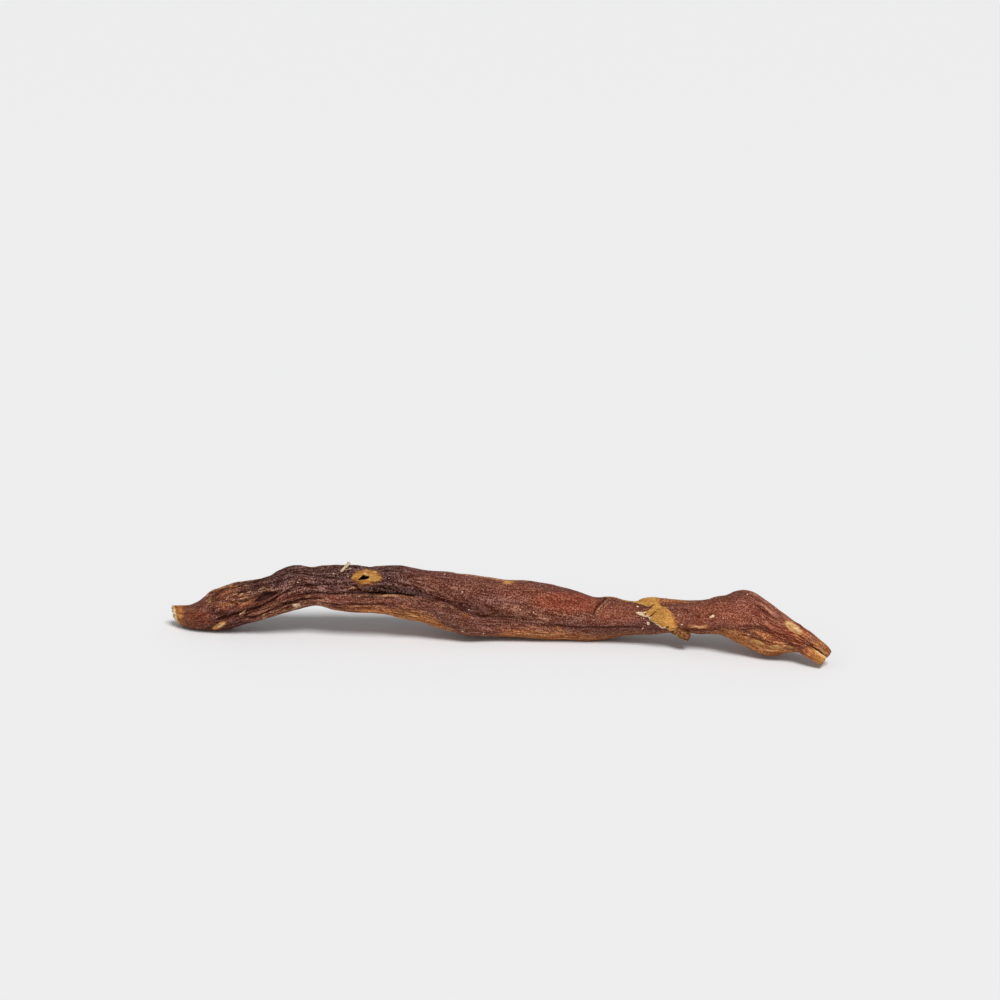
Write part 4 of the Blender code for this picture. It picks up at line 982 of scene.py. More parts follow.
def peg(name, line, sides, rings, flat, bump, paint_of, seed, smooth, lum):
    """A tapering peg through (x, y, depth, radius in drawing units): the rootlet stump and the bare core."""
    pts = np.array([[*to_frame(x, y, d), r * UNIT] for x, y, d, r in line])
    s = np.linspace(0, len(line) - 1.0, rings)
    c = through(pts, s)
    mid, rad = c[:, :3], c[:, 3]
    way = np.gradient(mid, axis=0)
    way /= np.linalg.norm(way, axis=1)[:, None]
    side = np.cross(way, AWAY)
    side /= np.linalg.norm(side, axis=1)[:, None]
    rear = np.cross(side, way)
    a = np.arange(sides) * (2 * math.pi / sides)
    run = np.concatenate([[0], np.cumsum(np.linalg.norm(np.diff(mid, axis=0), axis=1))])
    U = run[:, None] + 0 * a[None, :]
    A = 0 * run[:, None] + a[None, :]
    height, pit_shade, tone = bump(U, A, run[-1])
    R = rad[:, None] + height
    grid = mid[:, None, :] + R[..., None] * (np.cos(a)[None, :, None] * side[:, None, :] + flat * np.sin(a)[None, :, None] * rear[:, None, :])
    # the cut end, slightly domed and uneven
    last = grid[-1]
    middle = last.mean(axis=0)
    sizes = (0.97, 0.88, 0.72, 0.5, 0.25)
    ends = np.array([middle + (last - middle) * z + way[-1] * (0.10 * (1 - z**2) + 0.02 + 0.035 * noise(3 * np.cos(a) * z, 3 * np.sin(a) * z, 0.1, seed))[:, None]
                     for z in sizes])
    extra = len(sizes)
    z = np.array(sizes)[:, None]
    p1 = paint_of(U, A, run[-1])
    p1 = np.concatenate([p1, np.repeat(p1[-1:], extra, axis=0)])
    p2 = np.stack([pit_shade, 0 * pit_shade, 0.5 + 0.5 * tone, 0 * pit_shade], axis=-1)
    p2 = np.concatenate([p2, np.repeat(p2[-1:], extra, axis=0)])
    p3 = np.zeros((*p1.shape[:2], 4)) + np.array([0, 0.5, smooth, lum])
    t = np.concatenate([run / run[-1], np.ones(extra)])[:, None]
    p3[..., 3] += (min(lum, 0.46) - lum) * (1 - step01(t, 0.4, 0.72)) * (lum > 0.5)
    st = np.stack([U, 1.2 * np.cos(A), 1.2 * np.sin(A)], axis=-1)
    st = np.concatenate([st, np.stack([run[-1] + 0.4 * (1 - z) + 0 * a[None, :], 1.2 * z * np.cos(a)[None, :], 1.2 * z * np.sin(a)[None, :]], axis=-1)])
    full = np.concatenate([grid, ends])
    full[..., 2] = np.maximum(full[..., 2], 0.02)
    return grid_mesh(name, full, full[0].mean(axis=0), full[-1].mean(axis=0), {"straight": st, "paint": p1, "paint2": p2, "paint3": p3},
                     {"straight": ((0, 0, 0), (run[-1] + 0.5, 0, 0)), "paint": (p1[0, 0], p1[-1, 0]), "paint2": (p2[0, 0], p2[-1, 0]),
                      "paint3": (p3[0, 0], p3[-1, 0])})


# --- the healed break: three flaps of golden inner skin -----------------------------------
FLAP_A = [(638.6, 600.6), (640.2, 599.0), (644.3, 597.7), (650, 597.1), (655, 597.0), (659.6, 598.0), (664, 599.4), (665, 601.6), (662.8, 604.6), (659.6, 605.6),
          (656.6, 604.0), (653.2, 604.6), (650.4, 606.4), (647.2, 606.6), (643.4, 605.4), (639.6, 604.2), (635.6, 602.8), (632.4, 602.0), (633.6, 600.9)]
FLAP_B = [(634.8, 612.2), (637, 613.8), (640, 615.4), (643, 616.6), (648.6, 617.0), (652.2, 614.4), (655.8, 611.2), (659.0, 609.2), (662.4, 607.0), (662.6, 603.6),
          (659.4, 602.2), (656.4, 603.2), (653.2, 605.8), (650.4, 608.8), (647.4, 611.0), (643.4, 612.0), (638.8, 611.8)]
FLAP_C = [(648.2, 617.4), (649.4, 619.8), (652, 621.6), (654.6, 622.8), (656.2, 624.6), (658.6, 625.8), (659.8, 627.4), (661.8, 628.4), (664.4, 628.2),
          (666.2, 628.0), (668, 629.6), (670.4, 631.4), (674, 632.6), (678, 632.4), (680, 629.0), (679, 624.0), (677, 619.4), (674.5, 615.6), (672.5, 612.2),
          (671.0, 609.0), (668.0, 607.2), (664, 606.6), (659.6, 608.2), (656.4, 611.0), (653.6, 614.2), (651.6, 616.6), (649.8, 617.1)]


def lift_a(x, y):
    return 0.22 * (1 - step01(x, 648, 664)) + 0.03 - 0.12 * step01(x, 658, 664) + 0.08 * step01(y, 600, 605) * (1 - step01(x, 652, 660))


def lift_b(x, y):
    t = (x - 640) * 0.6 - (y - 614) * 0.8
    return 0.16 + 0.3 * step01(t, 1, 9) * (1 - step01(t, 14, 20)) - 0.2 * step01(t, 16, 21)


def lift_c(x, y):
    return 0.46 - 0.44 * step01(x + 0.4 * (620 - y), 662, 678) - 0.1 * step01(x, 674, 680) - 0.16 * (1 - step01(y, 608, 613))


def colour_a(x, y, inset):
    z = 0 * x
    n = noise(x / 3, y / 2, 0.1, 61)
    merge = step01(x, 655, 663)
    # paler along the torn edge, as painted highlight
    pale = 0.66 + 0.12 * n + 0.2 * (1 - step01(inset, 0.2, 1.0)) * (1 - merge) - 0.25 * merge
    return 1 + z, z, z, np.clip(pale, 0, 1), z, z + 0.53


def colour_b(x, y, inset):
    z = 0 * x
    n = noise(x / 3, y / 2, 0.1, 62)
    cream = 1 - step01(x - 0.5 * (y - 614), 645, 650)
    # a small hole in the flap, drawn only as painted shade
    hole = 1 - step01(blob(x, y, 645.7, 614.2, 1.1, 0.8), 0.6, 1.3)
    m = noise(x / 1.1, y / 0.9, 0.4, 64)
    # paler along the torn edge, as painted highlight
    pale = 0.66 + 0.1 * n + (0.22 + 0.12 * m) * cream + 0.12 * (1 - step01(inset, 0.2, 0.9))
    return 1 + z, z, z, np.clip(pale * (1 - 0.9 * hole), 0, 1), hole, z + 0.56


def colour_c(x, y, inset):
    z = 0 * x
    n = noise(x / 3.2, y / 2.2, 0.1, 63)
    ragged = (1 - step01(inset, 0.5, 1.6)) * (1 - step01(x, 664, 668)) * step01(y, 614, 619)
    # a small hole in the flap, drawn only as painted shade
    hole = 1 - step01(blob(x, y, 667.3, 627.3, 1.6, 0.9), 0.6, 1.3)
    fade = step01(x + 0.35 * (622 - y) + 1.5 * n, 672, 680)
    fade = np.maximum(fade, (1 - step01(inset + 0.8 * n, 0.2, 3.4)) * step01(x - 0.55 * (y - 610), 666.5, 670))
    # paler along the torn edge, as painted highlight
    pale = (0.66 + 0.08 * n + 0.3 * ragged + 0.06 * (1 - step01(inset, 0.2, 0.9))) * (1 - 0.97 * fade)
    gold = step01(x, 660, 667) * (1 - step01(x, 672, 676)) * step01(y, 617, 623)
    return 1 - 0.85 * fade**2, 0.5 * fade, z, np.clip((pale + 0.06 * gold) * (1 - 0.9 * hole), 0, 1), hole, 0.56 + 0.1 * gold + 0.06 * step01(x, 663, 669) - 0.04 * fade - 0.04 * (1 - step01(y, 610, 618))


pieces = [root]
pieces.append(flap("break_flap_upper", FLAP_A, lift_a, colour_a, 71))
pieces.append(flap("break_flap_middle", FLAP_B, lift_b, colour_b, 72))
pieces.append(flap("break_flap_lower", FLAP_C, lift_c, colour_c, 73, 0.34))


# --- the rootlet stump and the bare core --------------------------------------------------
def stump_bump(U, A, length):
    n = noise(U / 1.3, 2.2 * np.cos(A), 2.2 * np.sin(A), 81)
    m = noise(U / 0.5, 4.5 * np.cos(A), 4.5 * np.sin(A), 82)
    c = creases(noise(U / 2.2, 2.8 * np.cos(A), 2.8 * np.sin(A), 83), 0.12)
    return 0.05 * n + 0.045 * m - 0.10 * c, 0.7 * c, np.clip(0.6 * n + 0.5 * m, -1, 1)


def stump_paint(U, A, length):
    """Brown and rough, with a cream rim along its lower edge and round its end, and painted highlights in spots on its
    outer half.
    """
    t = U / length
    n = noise(U / 0.6, 2.5 * np.cos(A), 2.5 * np.sin(A), 84)
    m = noise(U / 0.9, 1.5 * np.cos(A), 1.5 * np.sin(A), 86)
    lower = np.exp(-((A - 3.45) / 0.36) ** 2)
    upper = np.exp(-((np.mod(A + 0.6, 2 * math.pi) - 0.6) / 0.5) ** 2)
    rim = np.maximum(0.95 * lower, 0.7 * upper * step01(t, 0.6, 0.8)) * (0.85 + 0.3 * n)
    painted_highlight = 0.75 * step01(m, 0.15, 0.4) * band(t, 0.45, 0.6, 0.95, 1.1)
    gold = 0.3 * (1 - step01(t, 0.15, 0.45))
    return np.stack([0.8 + 0.3 * n, 0.3 + 0 * t, np.clip(0.2 + 0.4 * step01(-n, -0.1, 0.3) * step01(t, 0.3, 0.6), 0, 1),
                     np.clip(np.maximum(np.maximum(rim, painted_highlight), gold), 0, 0.9)], axis=-1)


def core_bump(U, A, length):
    n = noise(U / 3.5, 3.0 * np.cos(A), 3.0 * np.sin(A), 91)
    m = noise(U / 1.5, 6.0 * np.cos(A), 6.0 * np.sin(A), 92)
    c = creases(noise(U / 6.0, 2.4 * np.cos(A), 2.4 * np.sin(A), 93), 0.12)
    return 0.04 * n + 0.02 * m - 0.05 * c, 0.5 * c, np.clip(0.6 * n + 0.5 * m, -1, 1)


def core_paint(U, A, length):
    """Red-brown under the skin, then orange, and olive gold towards its cut end, with a brown outline below and a
    painted highlight along its upper front edge.
    """
    t = U / length
    n = noise(U / 2.0, 2.5 * np.cos(A), 2.5 * np.sin(A), 94)
    bare = step01(t + 0.08 * n, 0.48, 0.8)
    below = np.exp(-((A - 3.35) / 0.38) ** 2)
    painted_highlight = np.exp(-((A - 5.8) / 0.26) ** 2) * step01(t, 0.5, 0.62)
    return np.stack([0.3 + 0.7 * step01(t, 0.4, 0.7), 0.7 * (1 - step01(t, 0.45, 0.75)), 0.55 * below * step01(t, 0.4, 0.6),
                     np.clip((0.55 + 0.08 * n) * bare * (1 - 0.75 * below) + 0.4 * painted_highlight, 0, 1)], axis=-1)


STUMP = [(668, 623.6, -3.6, 5.6), (674, 628.0, -4.5, 5.8), (679.6, 632.0, -5.1, 5.5), (684.8, 635.4, -5.5, 4.9), (689.0, 637.6, -5.8, 4.0)]
CORE = [(790.0, 640.5, -9.9, 3.8), (798.0, 645.6, -11.0, 5.0), (806.0, 650.3, -11.9, 5.7), (812.5, 654.3, -12.45, 5.6), (818.2, 657.9, -12.8, 5.3),
        (823.6, 661.2, -13.05, 4.9)]
pieces.append(peg("rootlet_stump", STUMP, 112, 90, 0.8, stump_bump, stump_paint, 85, 0.1, 0.42))
pieces.append(peg("core_stub", CORE, 112, 140, 0.85, core_bump, core_paint, 95, 0.75, 0.65))


# --- a dry fibre stuck to the top edge, and crumbs of pale tissue ---------------------------
def fibre(name, line, radius, seed):
    """A thin dry fibre through (x, y, depth); a depth of None is on the skin."""
    ctrl = [to_frame(x, y, depth_at(x, y) - 0.08 if d is None else d) for x, y, d in line]
    s = np.linspace(0, len(ctrl) - 1.0, 40)
    mid = through(np.array(ctrl), s)
    way = np.gradient(mid, axis=0)
    way /= np.linalg.norm(way, axis=1)[:, None]
    side = np.cross(way, AWAY)
    side /= np.linalg.norm(side, axis=1)[:, None]
    rear = np.cross(side, way)
    a = np.arange(14) * (2 * math.pi / 14)
    t = np.linspace(0, 1, 40)
    rad = radius * (0.75 + 0.35 * t + 0.18 * noise(t * 6, 0.3, 0.3, seed)) * np.sqrt(np.clip(np.minimum(t, 1 - t) * 14, 0.05, 1))
    grid = mid[:, None, :] + rad[:, None, None] * (np.cos(a)[None, :, None] * side[:, None, :] + 0.7 * np.sin(a)[None, :, None] * rear[:, None, :])
    p1 = np.zeros((40, 14, 4)); p1[..., 0] = 1; p1[..., 3] = 0.97
    p2 = np.zeros((40, 14, 4)); p2[..., 2] = 0.6
    p3 = np.zeros((40, 14, 4)) + np.array([0, 0.5, 0.8, 0.6])
    st = np.stack([np.repeat(t[:, None] * 3, 14, 1), np.cos(a)[None, :] + 0 * t[:, None], np.sin(a)[None, :] + 0 * t[:, None]], axis=-1)
    return grid_mesh(name, grid, mid[0], mid[-1], {"straight": st, "paint": p1, "paint2": p2, "paint3": p3},
                     {"straight": ((0, 0, 0), (3, 0, 0)), "paint": ((1, 0, 0, 0.97),) * 2, "paint2": ((0, 0, 0.6, 0),) * 2, "paint3": ((0, 0.5, 0.8, 0.6),) * 2})


tip = depth_at(344.0, 569.0)
pieces.append(fibre("dry_fibre", [(340.4, 571.8, None), (342.6, 570.0, None), (345.4, 567.2, tip + 0.5), (347.9, 564.4, 2.1), (349.5, 562.2, 2.75)], 0.33, 5))
pieces.append(fibre("dry_fibre_small", [(345.0, 570.3, None), (348.4, 569.2, None), (351.6, 568.4, None)], 0.09, 6))

CRUMBS = [(297.7, 582.3, 1.0), (333.3, 573.8, 1.1), (345.4, 594, 0.8), (330, 600.8, 0.7), (374.6, 593.3, 0.7), (408, 580.4, 0.8), (426.5, 590.4, 1.0),
          (444.6, 574.2, 1.0), (462.3, 591.9, 1.2), (468.8, 609.6, 0.7), (520.4, 609.8, 1.0), (550.8, 609.2, 0.7), (648.2, 623.3, 1.9), (678.2, 615, 0.9),
          (682, 624.6, 1.1), (720.7, 602.1, 0.9), (723.2, 618.2, 0.9), (747.3, 594.6, 1.0), (775.4, 608.1, 0.9), (637.4, 606.6, 1.3), (642.6, 628.4, 1.2),
          (533.4, 612.6, 0.8), (304.4, 588.3, 0.6), (206.5, 621.4, 0.8), (197, 627.6, 0.8), (183, 627.2, 0.8), (218.9, 608.8, 0.8), (462.5, 631.4, 1.1),
          (483.6, 633.6, 0.8), (748.2, 634.8, 1.2), (717.2, 602.2, 0.8), (611.5, 607.4, 0.9)]


def crumbs():
    rng = np.random.RandomState(7)
    bm = bmesh.new()
    layer = bm.verts.layers.float_color.new("paint")

    def lump(centre, normal, size):
        made = bmesh.ops.create_icosphere(bm, subdivisions=2, radius=1.0)["verts"]
        normal = Vector(normal).normalized()
        turn = Vector((0, 0, 1)).rotation_difference(normal)
        stretch = rng.uniform(0.7, 1.3, 3)
        spin = rng.uniform(0, 6.28)
        pale = 0.8 + 0.2 * rng.rand()
        for v in made:
            p = np.array(v.co)
            p = p * (1 + 0.35 * noise(p[0] * 1.3 + spin, p[1] * 1.3, p[2] * 1.3, 3))
            q = Vector((p[0] * stretch[0], p[1] * stretch[1], p[2] * 0.55))
            q = Vector((q.x * math.cos(spin) - q.y * math.sin(spin), q.x * math.sin(spin) + q.y * math.cos(spin), q.z))
            v.co = (Vector(centre) + turn @ q * size) * MM
            v[layer] = (1, 0, 0, pale)
    for x, y, size in CRUMBS:
        way = Vector(to_frame(x, y, 0.0) - EYE_POINT).normalized()
        hit, normal, index, far = _tree.ray_cast(Vector(EYE_POINT), way)
        if hit is not None:
            lump(hit, normal, 0.15 * size)
    total = len(skin_points)
    for i in range(110):
        a, b = rng.randint(12, total - 12), rng.randint(0, skin_points.shape[1])
        p = skin_points[a, b]
        if p[2] < 0.6:
            continue
        n = p - skin_points[a].mean(axis=0)
        lump(p, n, rng.uniform(0.045, 0.085))
    mesh = bpy.data.meshes.new("pale_crumbs")
    bm.to_mesh(mesh)
    bm.free()
    n = len(mesh.vertices)
    co = np.zeros(n * 3)
    mesh.vertices.foreach_get("co", co)
    store(mesh, "straight", co.reshape(-1, 3) / MM)
    p2 = np.zeros((n, 4)); p2[:, 2] = 0.5
    store(mesh, "paint2", p2)
    store(mesh, "paint3", np.zeros((n, 4)) + np.array([0, 0, 0.8, 0.56]))
    return finish_piece("pale_crumbs", mesh)


pieces.append(crumbs())


# ---------------------------------------------------------------------------------------
# Materials.
# ---------------------------------------------------------------------------------------
def rgb(r, g, b):
    """A colour given as 0 to 255 on screen, as linear light."""
    def one(v):
        v /= 255.0
        return v / 12.92 if v <= 0.04045 else ((v + 0.055) / 1.055) ** 2.4
    return (one(r), one(g), one(b), 1.0)


class Nodes:
    """Small helper that adds shader nodes and joins them."""

    def __init__(self, mat):
        mat.use_nodes = True
        self.tree = mat.node_tree
        self.tree.nodes.clear()

    def add(self, kind, **settings):
        node = self.tree.nodes.new(kind)
        for key, value in settings.items():
            setattr(node, key, value)
        return node

    def join(self, a, b):
        self.tree.links.new(a, b)

    def put(self, socket, value):
        if isinstance(value, bpy.types.NodeSocket):
            self.join(value, socket)
        elif value is not None:
            socket.default_value = value

    def layer(self, name):
        return self.add("ShaderNodeAttribute", attribute_name=name, attribute_type="GEOMETRY")

    def split(self, colour):
        node = self.add("ShaderNodeSeparateColor")
        self.join(colour, node.inputs[0])
        return node.outputs[0], node.outputs[1], node.outputs[2]

    def math(self, op, a, b=None, c=None, clamp=False):
        node = self.add("ShaderNodeMath", operation=op, use_clamp=clamp)
        for i, v in enumerate((a, b, c)):
            self.put(node.inputs[i], v)
        return node.outputs[0]

    def mix(self, fac, a, b, blend="MIX"):
        node = self.add("ShaderNodeMix", data_type="RGBA", blend_type=blend)
        self.put(node.inputs[0], fac)
        self.put(node.inputs[6], a)
        self.put(node.inputs[7], b)
        return node.outputs[2]

    def ramp(self, fac, low, high, a=0.0, b=1.0):
        node = self.add("ShaderNodeMapRange", interpolation_type="SMOOTHSTEP")
        self.put(node.inputs[0], fac)
        for i, v in zip((1, 2, 3, 4), (low, high, a, b)):
            self.put(node.inputs[i], v)
        return node.outputs[0]

    def stretch(self, vector, scale):
        node = self.add("ShaderNodeMapping", vector_type="POINT")
        self.join(vector, node.inputs[0])
        node.inputs["Scale"].default_value = scale
        return node.outputs[0]

    def noise(self, vector, scale, detail=3.0, rough=0.55, distort=0.0):
        node = self.add("ShaderNodeTexNoise")
        self.join(vector, node.inputs["Vector"])
        node.inputs["Scale"].default_value = scale
        node.inputs["Detail"].default_value = detail
        node.inputs["Roughness"].default_value = rough
        node.inputs["Distortion"].default_value = distort
        return node.outputs["Fac"]

    def cells(self, vector, scale, feature="F1", random=1.0):
        node = self.add("ShaderNodeTexVoronoi", feature=feature)
        self.join(vector, node.inputs["Vector"])
        node.inputs["Scale"].default_value = scale
        node.inputs["Randomness"].default_value = random
        return node


def skin_material():
    mat = bpy.data.materials.new("dried_skin_fine")
    n = Nodes(mat)
    p1, p2, p3, st = n.layer("paint"), n.layer("paint2"), n.layer("paint3"), n.layer("straight")
    amber, red, dark = n.split(p1.outputs["Color"])
    pale = p1.outputs["Alpha"]
    pit_shade, crest_highlight, tone = n.split(p2.outputs["Color"])
    hole = p2.outputs["Alpha"]
    fleck, lines, smooth = n.split(p3.outputs["Color"])
    lum = p3.outputs["Alpha"]
    v = st.outputs["Vector"]

    # grain of the dried skin, long ways along the root: cells, then finer and coarser noise
    dome = n.ramp(n.cells(n.stretch(v, (2.9, 4.9, 4.9)), 1.0).outputs["Distance"], 0.74, 0.10)
    fine = n.noise(n.stretch(v, (1.3, 3.0, 3.0)), 1.0, 3.0, 0.6, 0.3)
    grain = n.noise(n.stretch(v, (4.0, 6.6, 6.6)), 1.0, 2.0, 0.6, 0.2)
    streak = n.noise(n.stretch(v, (0.28, 2.0, 2.0)), 1.0, 3.0, 0.6, 0.35)
    hair = n.noise(n.stretch(v, (0.50, 3.8, 3.8)), 1.0, 2.0, 0.6, 0.3)
    large = n.noise(n.stretch(v, (0.12, 0.35, 0.35)), 1.0, 3.0, 0.55)
    fine_n, grain_n = n.ramp(fine, 0.3, 0.7), n.ramp(grain, 0.33, 0.67)
    streak_n, hair_n = n.ramp(streak, 0.3, 0.7), n.ramp(hair, 0.33, 0.67)

    # light and dark of the grain, 0 to 1
    value = n.math("MULTIPLY_ADD", dome, 0.42, -0.17)
    value = n.math("MULTIPLY_ADD", n.math("SUBTRACT", fine_n, 0.5), 0.06, value)
    value = n.math("MULTIPLY_ADD", n.math("SUBTRACT", grain_n, 0.5), n.math("MULTIPLY_ADD", lines, 0.16, 0.48), value)
    value = n.math("MULTIPLY", value, n.math("MULTIPLY_ADD", n.math("MAXIMUM", smooth, n.math("MULTIPLY", amber, 0.4)), -0.7, 1.0))
    value = n.math("ADD", value, n.math("MULTIPLY", n.math("SUBTRACT", tone, 0.5), n.math("MULTIPLY_ADD", lines, 0.20, 0.10)))
    value = n.math("ADD", value, n.math("MULTIPLY", n.math("SUBTRACT", streak_n, 0.5), n.math("MULTIPLY_ADD", lines, 0.30, 0.06)))
    value = n.math("ADD", value, n.math("MULTIPLY", n.math("SUBTRACT", hair_n, 0.5), n.math("MULTIPLY_ADD", lines, 0.34, 0.08)))
    value = n.ramp(value, -0.23, 0.41)

    # masks with their borders broken up by the grain
    wob = n.math("ADD", n.math("MULTIPLY", n.math("SUBTRACT", fine, 0.5), 1.1), n.math("MULTIPLY", n.math("SUBTRACT", streak, 0.5), 0.9))

    def broken(mask, amount, low, high):
        return n.ramp(n.math("ADD", mask, n.math("MULTIPLY", wob, amount)), low, high)
    amber_m = broken(amber, 0.6, 0.05, 0.95)
    red_m = broken(red, 0.5, 0.05, 1.05)
    dark_m = broken(dark, 0.35, 0.05, 1.0)
    pale_m = broken(pale, 0.5, 0.14, 0.62)

    c = n.mix(n.ramp(large, 0.35, 0.65), rgb(122, 68, 55), rgb(127, 71, 51))
    c = n.mix(n.math("MULTIPLY", red_m, 0.85), c, rgb(146, 71, 48))
    c = n.mix(n.math("MULTIPLY", amber_m, 0.95), c, n.mix(fine_n, rgb(180, 103, 50), rgb(198, 126, 72)))
    # dark skin, with painted shade in the hollow and along the fold valley
    c = n.mix(n.math("MULTIPLY", dark_m, 0.9), c, rgb(85, 54, 48))
    # painted highlight on ridge tops and lit lines
    c = n.mix(n.math("MULTIPLY", crest_highlight, 0.7), c, rgb(186, 122, 88))
    usual = n.mix(value, (0.60, 0.48, 0.45, 1.0), (1.80, 2.22, 2.40, 1.0))
    deeper = n.mix(value, (0.42, 0.26, 0.24, 1.0), (2.90, 3.90, 4.20, 1.0))
    c = n.mix(1.0, c, n.mix(n.math("MAXIMUM", dark_m, n.math("MULTIPLY", lines, 0.28)), usual, deeper), "MULTIPLY")

    # painted glints: scattered light grains, more of them on ridge tops
    dots = n.cells(n.stretch(v, (1.9, 3.2, 3.2)), 1.0)
    chance = n.split(dots.outputs["Color"])[0]
    painted_glints = n.math("MULTIPLY", n.ramp(dots.outputs["Distance"], 0.40, 0.16), n.ramp(n.math("MULTIPLY_ADD", crest_highlight, 0.3, chance), 0.80, 0.90))
    c = n.mix(n.math("MULTIPLY", painted_glints, n.math("MULTIPLY_ADD", dark_m, 0.3, n.math("MULTIPLY_ADD", smooth, -0.7, 0.52))), c, rgb(206, 172, 152))

    # tan flecks
    shards = n.cells(n.stretch(v, (0.85, 3.2, 3.2)), 1.0)
    spots = n.math("MULTIPLY", n.ramp(shards.outputs["Distance"], 0.45, 0.34), n.ramp(n.split(shards.outputs["Color"])[1], 0.40, 0.55))
    c = n.mix(n.math("MULTIPLY", n.math("MULTIPLY", spots, fleck), 0.92), c, n.mix(grain_n, rgb(176, 122, 80), rgb(226, 180, 134)))

    # pale inner tissue
    gold = n.mix(fine_n, rgb(190, 135, 60), rgb(212, 157, 80))
    gold = n.mix(n.ramp(red, 0.3, 0.8), gold, n.mix(fine_n, rgb(200, 146, 92), rgb(224, 178, 124)))
    gold = n.mix(n.ramp(pale, 0.35, 0.66, 1.0, 0.0), gold, n.mix(streak_n, rgb(140, 84, 42), rgb(174, 110, 60)))
    gold = n.mix(n.ramp(pale, 0.74, 0.97), gold, n.mix(grain_n, rgb(232, 196, 146), rgb(255, 240, 210)))
    gold = n.mix(1.0, gold, n.mix(value, (0.74, 0.64, 0.56, 1.0), (1.22, 1.34, 1.50, 1.0)), "MULTIPLY")
    c = n.mix(pale_m, c, gold)
    # lighter or darker, partly the skin's own tone and partly painted light and shade
    c = n.mix(1.0, c, n.math("MULTIPLY", lum, 2.0), "MULTIPLY")

    # painted shade in the bottoms of grooves, creases and fine dark lines, and near-black painted shade in the hole of
    # the knot
    groove_shade = n.ramp(n.math("ADD", pit_shade, n.math("MULTIPLY", wob, 0.3)), 0.12, 0.95, 0.0, 0.85)
    c = n.mix(n.math("MULTIPLY", groove_shade, n.ramp(pale, 0.76, 0.9, 1.0, 0.1)), c, rgb(48, 19, 14))
    c = n.mix(n.ramp(hole, 0.25, 0.75), c, rgb(14, 8, 6))

    # the tops of the grain shine, the gaps between them don't
    rough = n.ramp(value, 0.15, 0.85, 0.60, 0.33)
    rough = n.math("ADD", rough, n.math("MULTIPLY", pit_shade, 0.2))
    rough = n.math("ADD", rough, n.math("MULTIPLY", pale_m, 0.08), clamp=True)
    shine = n.math("MULTIPLY", n.ramp(value, 0.15, 0.85, 0.10, 0.78), n.ramp(pit_shade, 0.0, 0.8, 1.0, 0.15))
    shine = n.math("MULTIPLY", shine, n.ramp(dark_m, 0.2, 0.9, 1.0, 0.65))
    shine = n.math("MULTIPLY", shine, n.ramp(lum, 0.30, 0.50, 0.25, 1.0))
    shine = n.math("MULTIPLY", shine, n.ramp(red_m, 0.3, 1.0, 1.0, 0.6))

    b1 = n.add("ShaderNodeBump")
    n.join(n.math("MULTIPLY_ADD", grain, 1.0, n.math("MULTIPLY_ADD", fine, 0.8, n.math("MULTIPLY", dome, 0.6))), b1.inputs["Height"])
    n.join(n.math("MULTIPLY_ADD", smooth, -0.7, 1.0), b1.inputs["Strength"])
    b1.inputs["Distance"].default_value = 0.00022
    b2 = n.add("ShaderNodeBump")
    n.join(n.math("MULTIPLY_ADD", hair, n.math("MULTIPLY_ADD", lines, 0.7, 0.2), streak), b2.inputs["Height"])
    b2.inputs["Strength"].default_value = 1.0
    b2.inputs["Distance"].default_value = 0.00040
    n.join(b1.outputs[0], b2.inputs["Normal"])

    shader = n.add("ShaderNodeBsdfPrincipled")
    n.join(c, shader.inputs["Base Color"])
    n.join(rough, shader.inputs["Roughness"])
    n.join(b2.outputs[0], shader.inputs["Normal"])
    n.join(n.math("MULTIPLY", n.ramp(amber_m, 0.0, 1.0, 0.03, 0.2), n.ramp(pale, 0.6, 0.9, 1.0, 0.0)), shader.inputs["Subsurface Weight"])
    shader.inputs["Subsurface Radius"].default_value = (1.0, 0.38, 0.16)
    shader.inputs["Subsurface Scale"].default_value = 0.0005
    n.join(shine, shader.inputs["Specular IOR Level"])
    shader.inputs["IOR"].default_value = 1.48
    out = n.add("ShaderNodeOutputMaterial")
    n.join(shader.outputs[0], out.inputs["Surface"])
    return mat


skin = skin_material()
for piece in pieces:
    piece.data.materials.append(skin)
    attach(piece, "root")
    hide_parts("asparagus_root")
print("triangles", {p.name: sum(len(f.vertices) - 2 for f in p.data.polygons) for p in pieces})

# ---------------------------------------------------------------------------------------
# Floor, light and camera.
# ---------------------------------------------------------------------------------------
floor_mesh = bpy.data.meshes.new("floor")
r = 12.0
floor_mesh.from_pydata([(-r, -r, 0), (r, -r, 0), (r, r, 0), (-r, r, 0)], [], [(0, 1, 2, 3)])
floor = bpy.data.objects.new("floor", floor_mesh)
floor.location.z = -0.00003
bpy.context.scene.collection.objects.link(floor)
floor_mat = bpy.data.materials.new("floor")
floor_mat.use_nodes = True
shader = floor_mat.node_tree.nodes["Principled BSDF"]
shader.inputs["Base Color"].default_value = (0.83, 0.83, 0.835, 1)
shader.inputs["Roughness"].default_value = 0.9
shader.inputs["Specular IOR Level"].default_value = 0.2
floor_mesh.materials.append(floor_mat)

world = bpy.data.worlds.new("studio")
world.use_nodes = True
world.node_tree.nodes["Background"].inputs["Color"].default_value = (1, 1, 1, 1)
world.node_tree.nodes["Background"].inputs["Strength"].default_value = 0.34
bpy.context.scene.world = world

sun = bpy.data.lights.new("overhead", "SUN")
sun.energy = 2.45
sun.angle = math.radians(26)
sun_obj = bpy.data.objects.new("overhead", sun)
sun_obj.location = (0.22, -0.34, 0.8)
sun_obj.rotation_euler = (Vector((0.0, 0.0, 0.0)) - sun_obj.location).to_track_quat("-Z", "Y").to_euler()
bpy.context.scene.collection.objects.link(sun_obj)

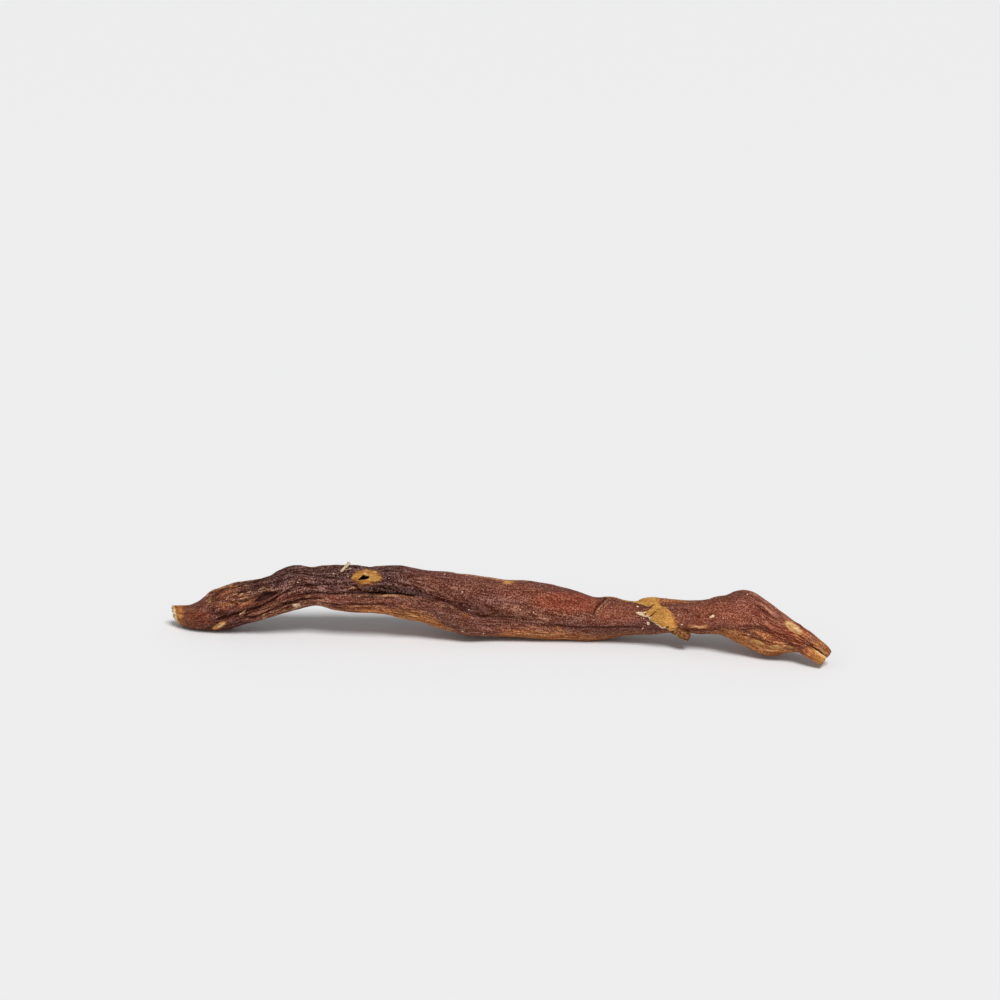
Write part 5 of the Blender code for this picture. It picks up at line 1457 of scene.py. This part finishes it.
camera = bpy.data.cameras.new("camera")
camera.sensor_width = 36.0
camera.lens = 36.0 * EYE / (1000.0 * UNIT)
camera.clip_start, camera.clip_end = 0.01, 50.0
cam = bpy.data.objects.new("camera", camera)
cam.location = Vector(EYE_POINT) * MM
cam.rotation_euler = (math.pi / 2 - TILT, 0.0, 0.0)
bpy.context.scene.collection.objects.link(cam)
bpy.context.scene.camera = cam
bpy.context.scene.view_settings.view_transform = "Standard"
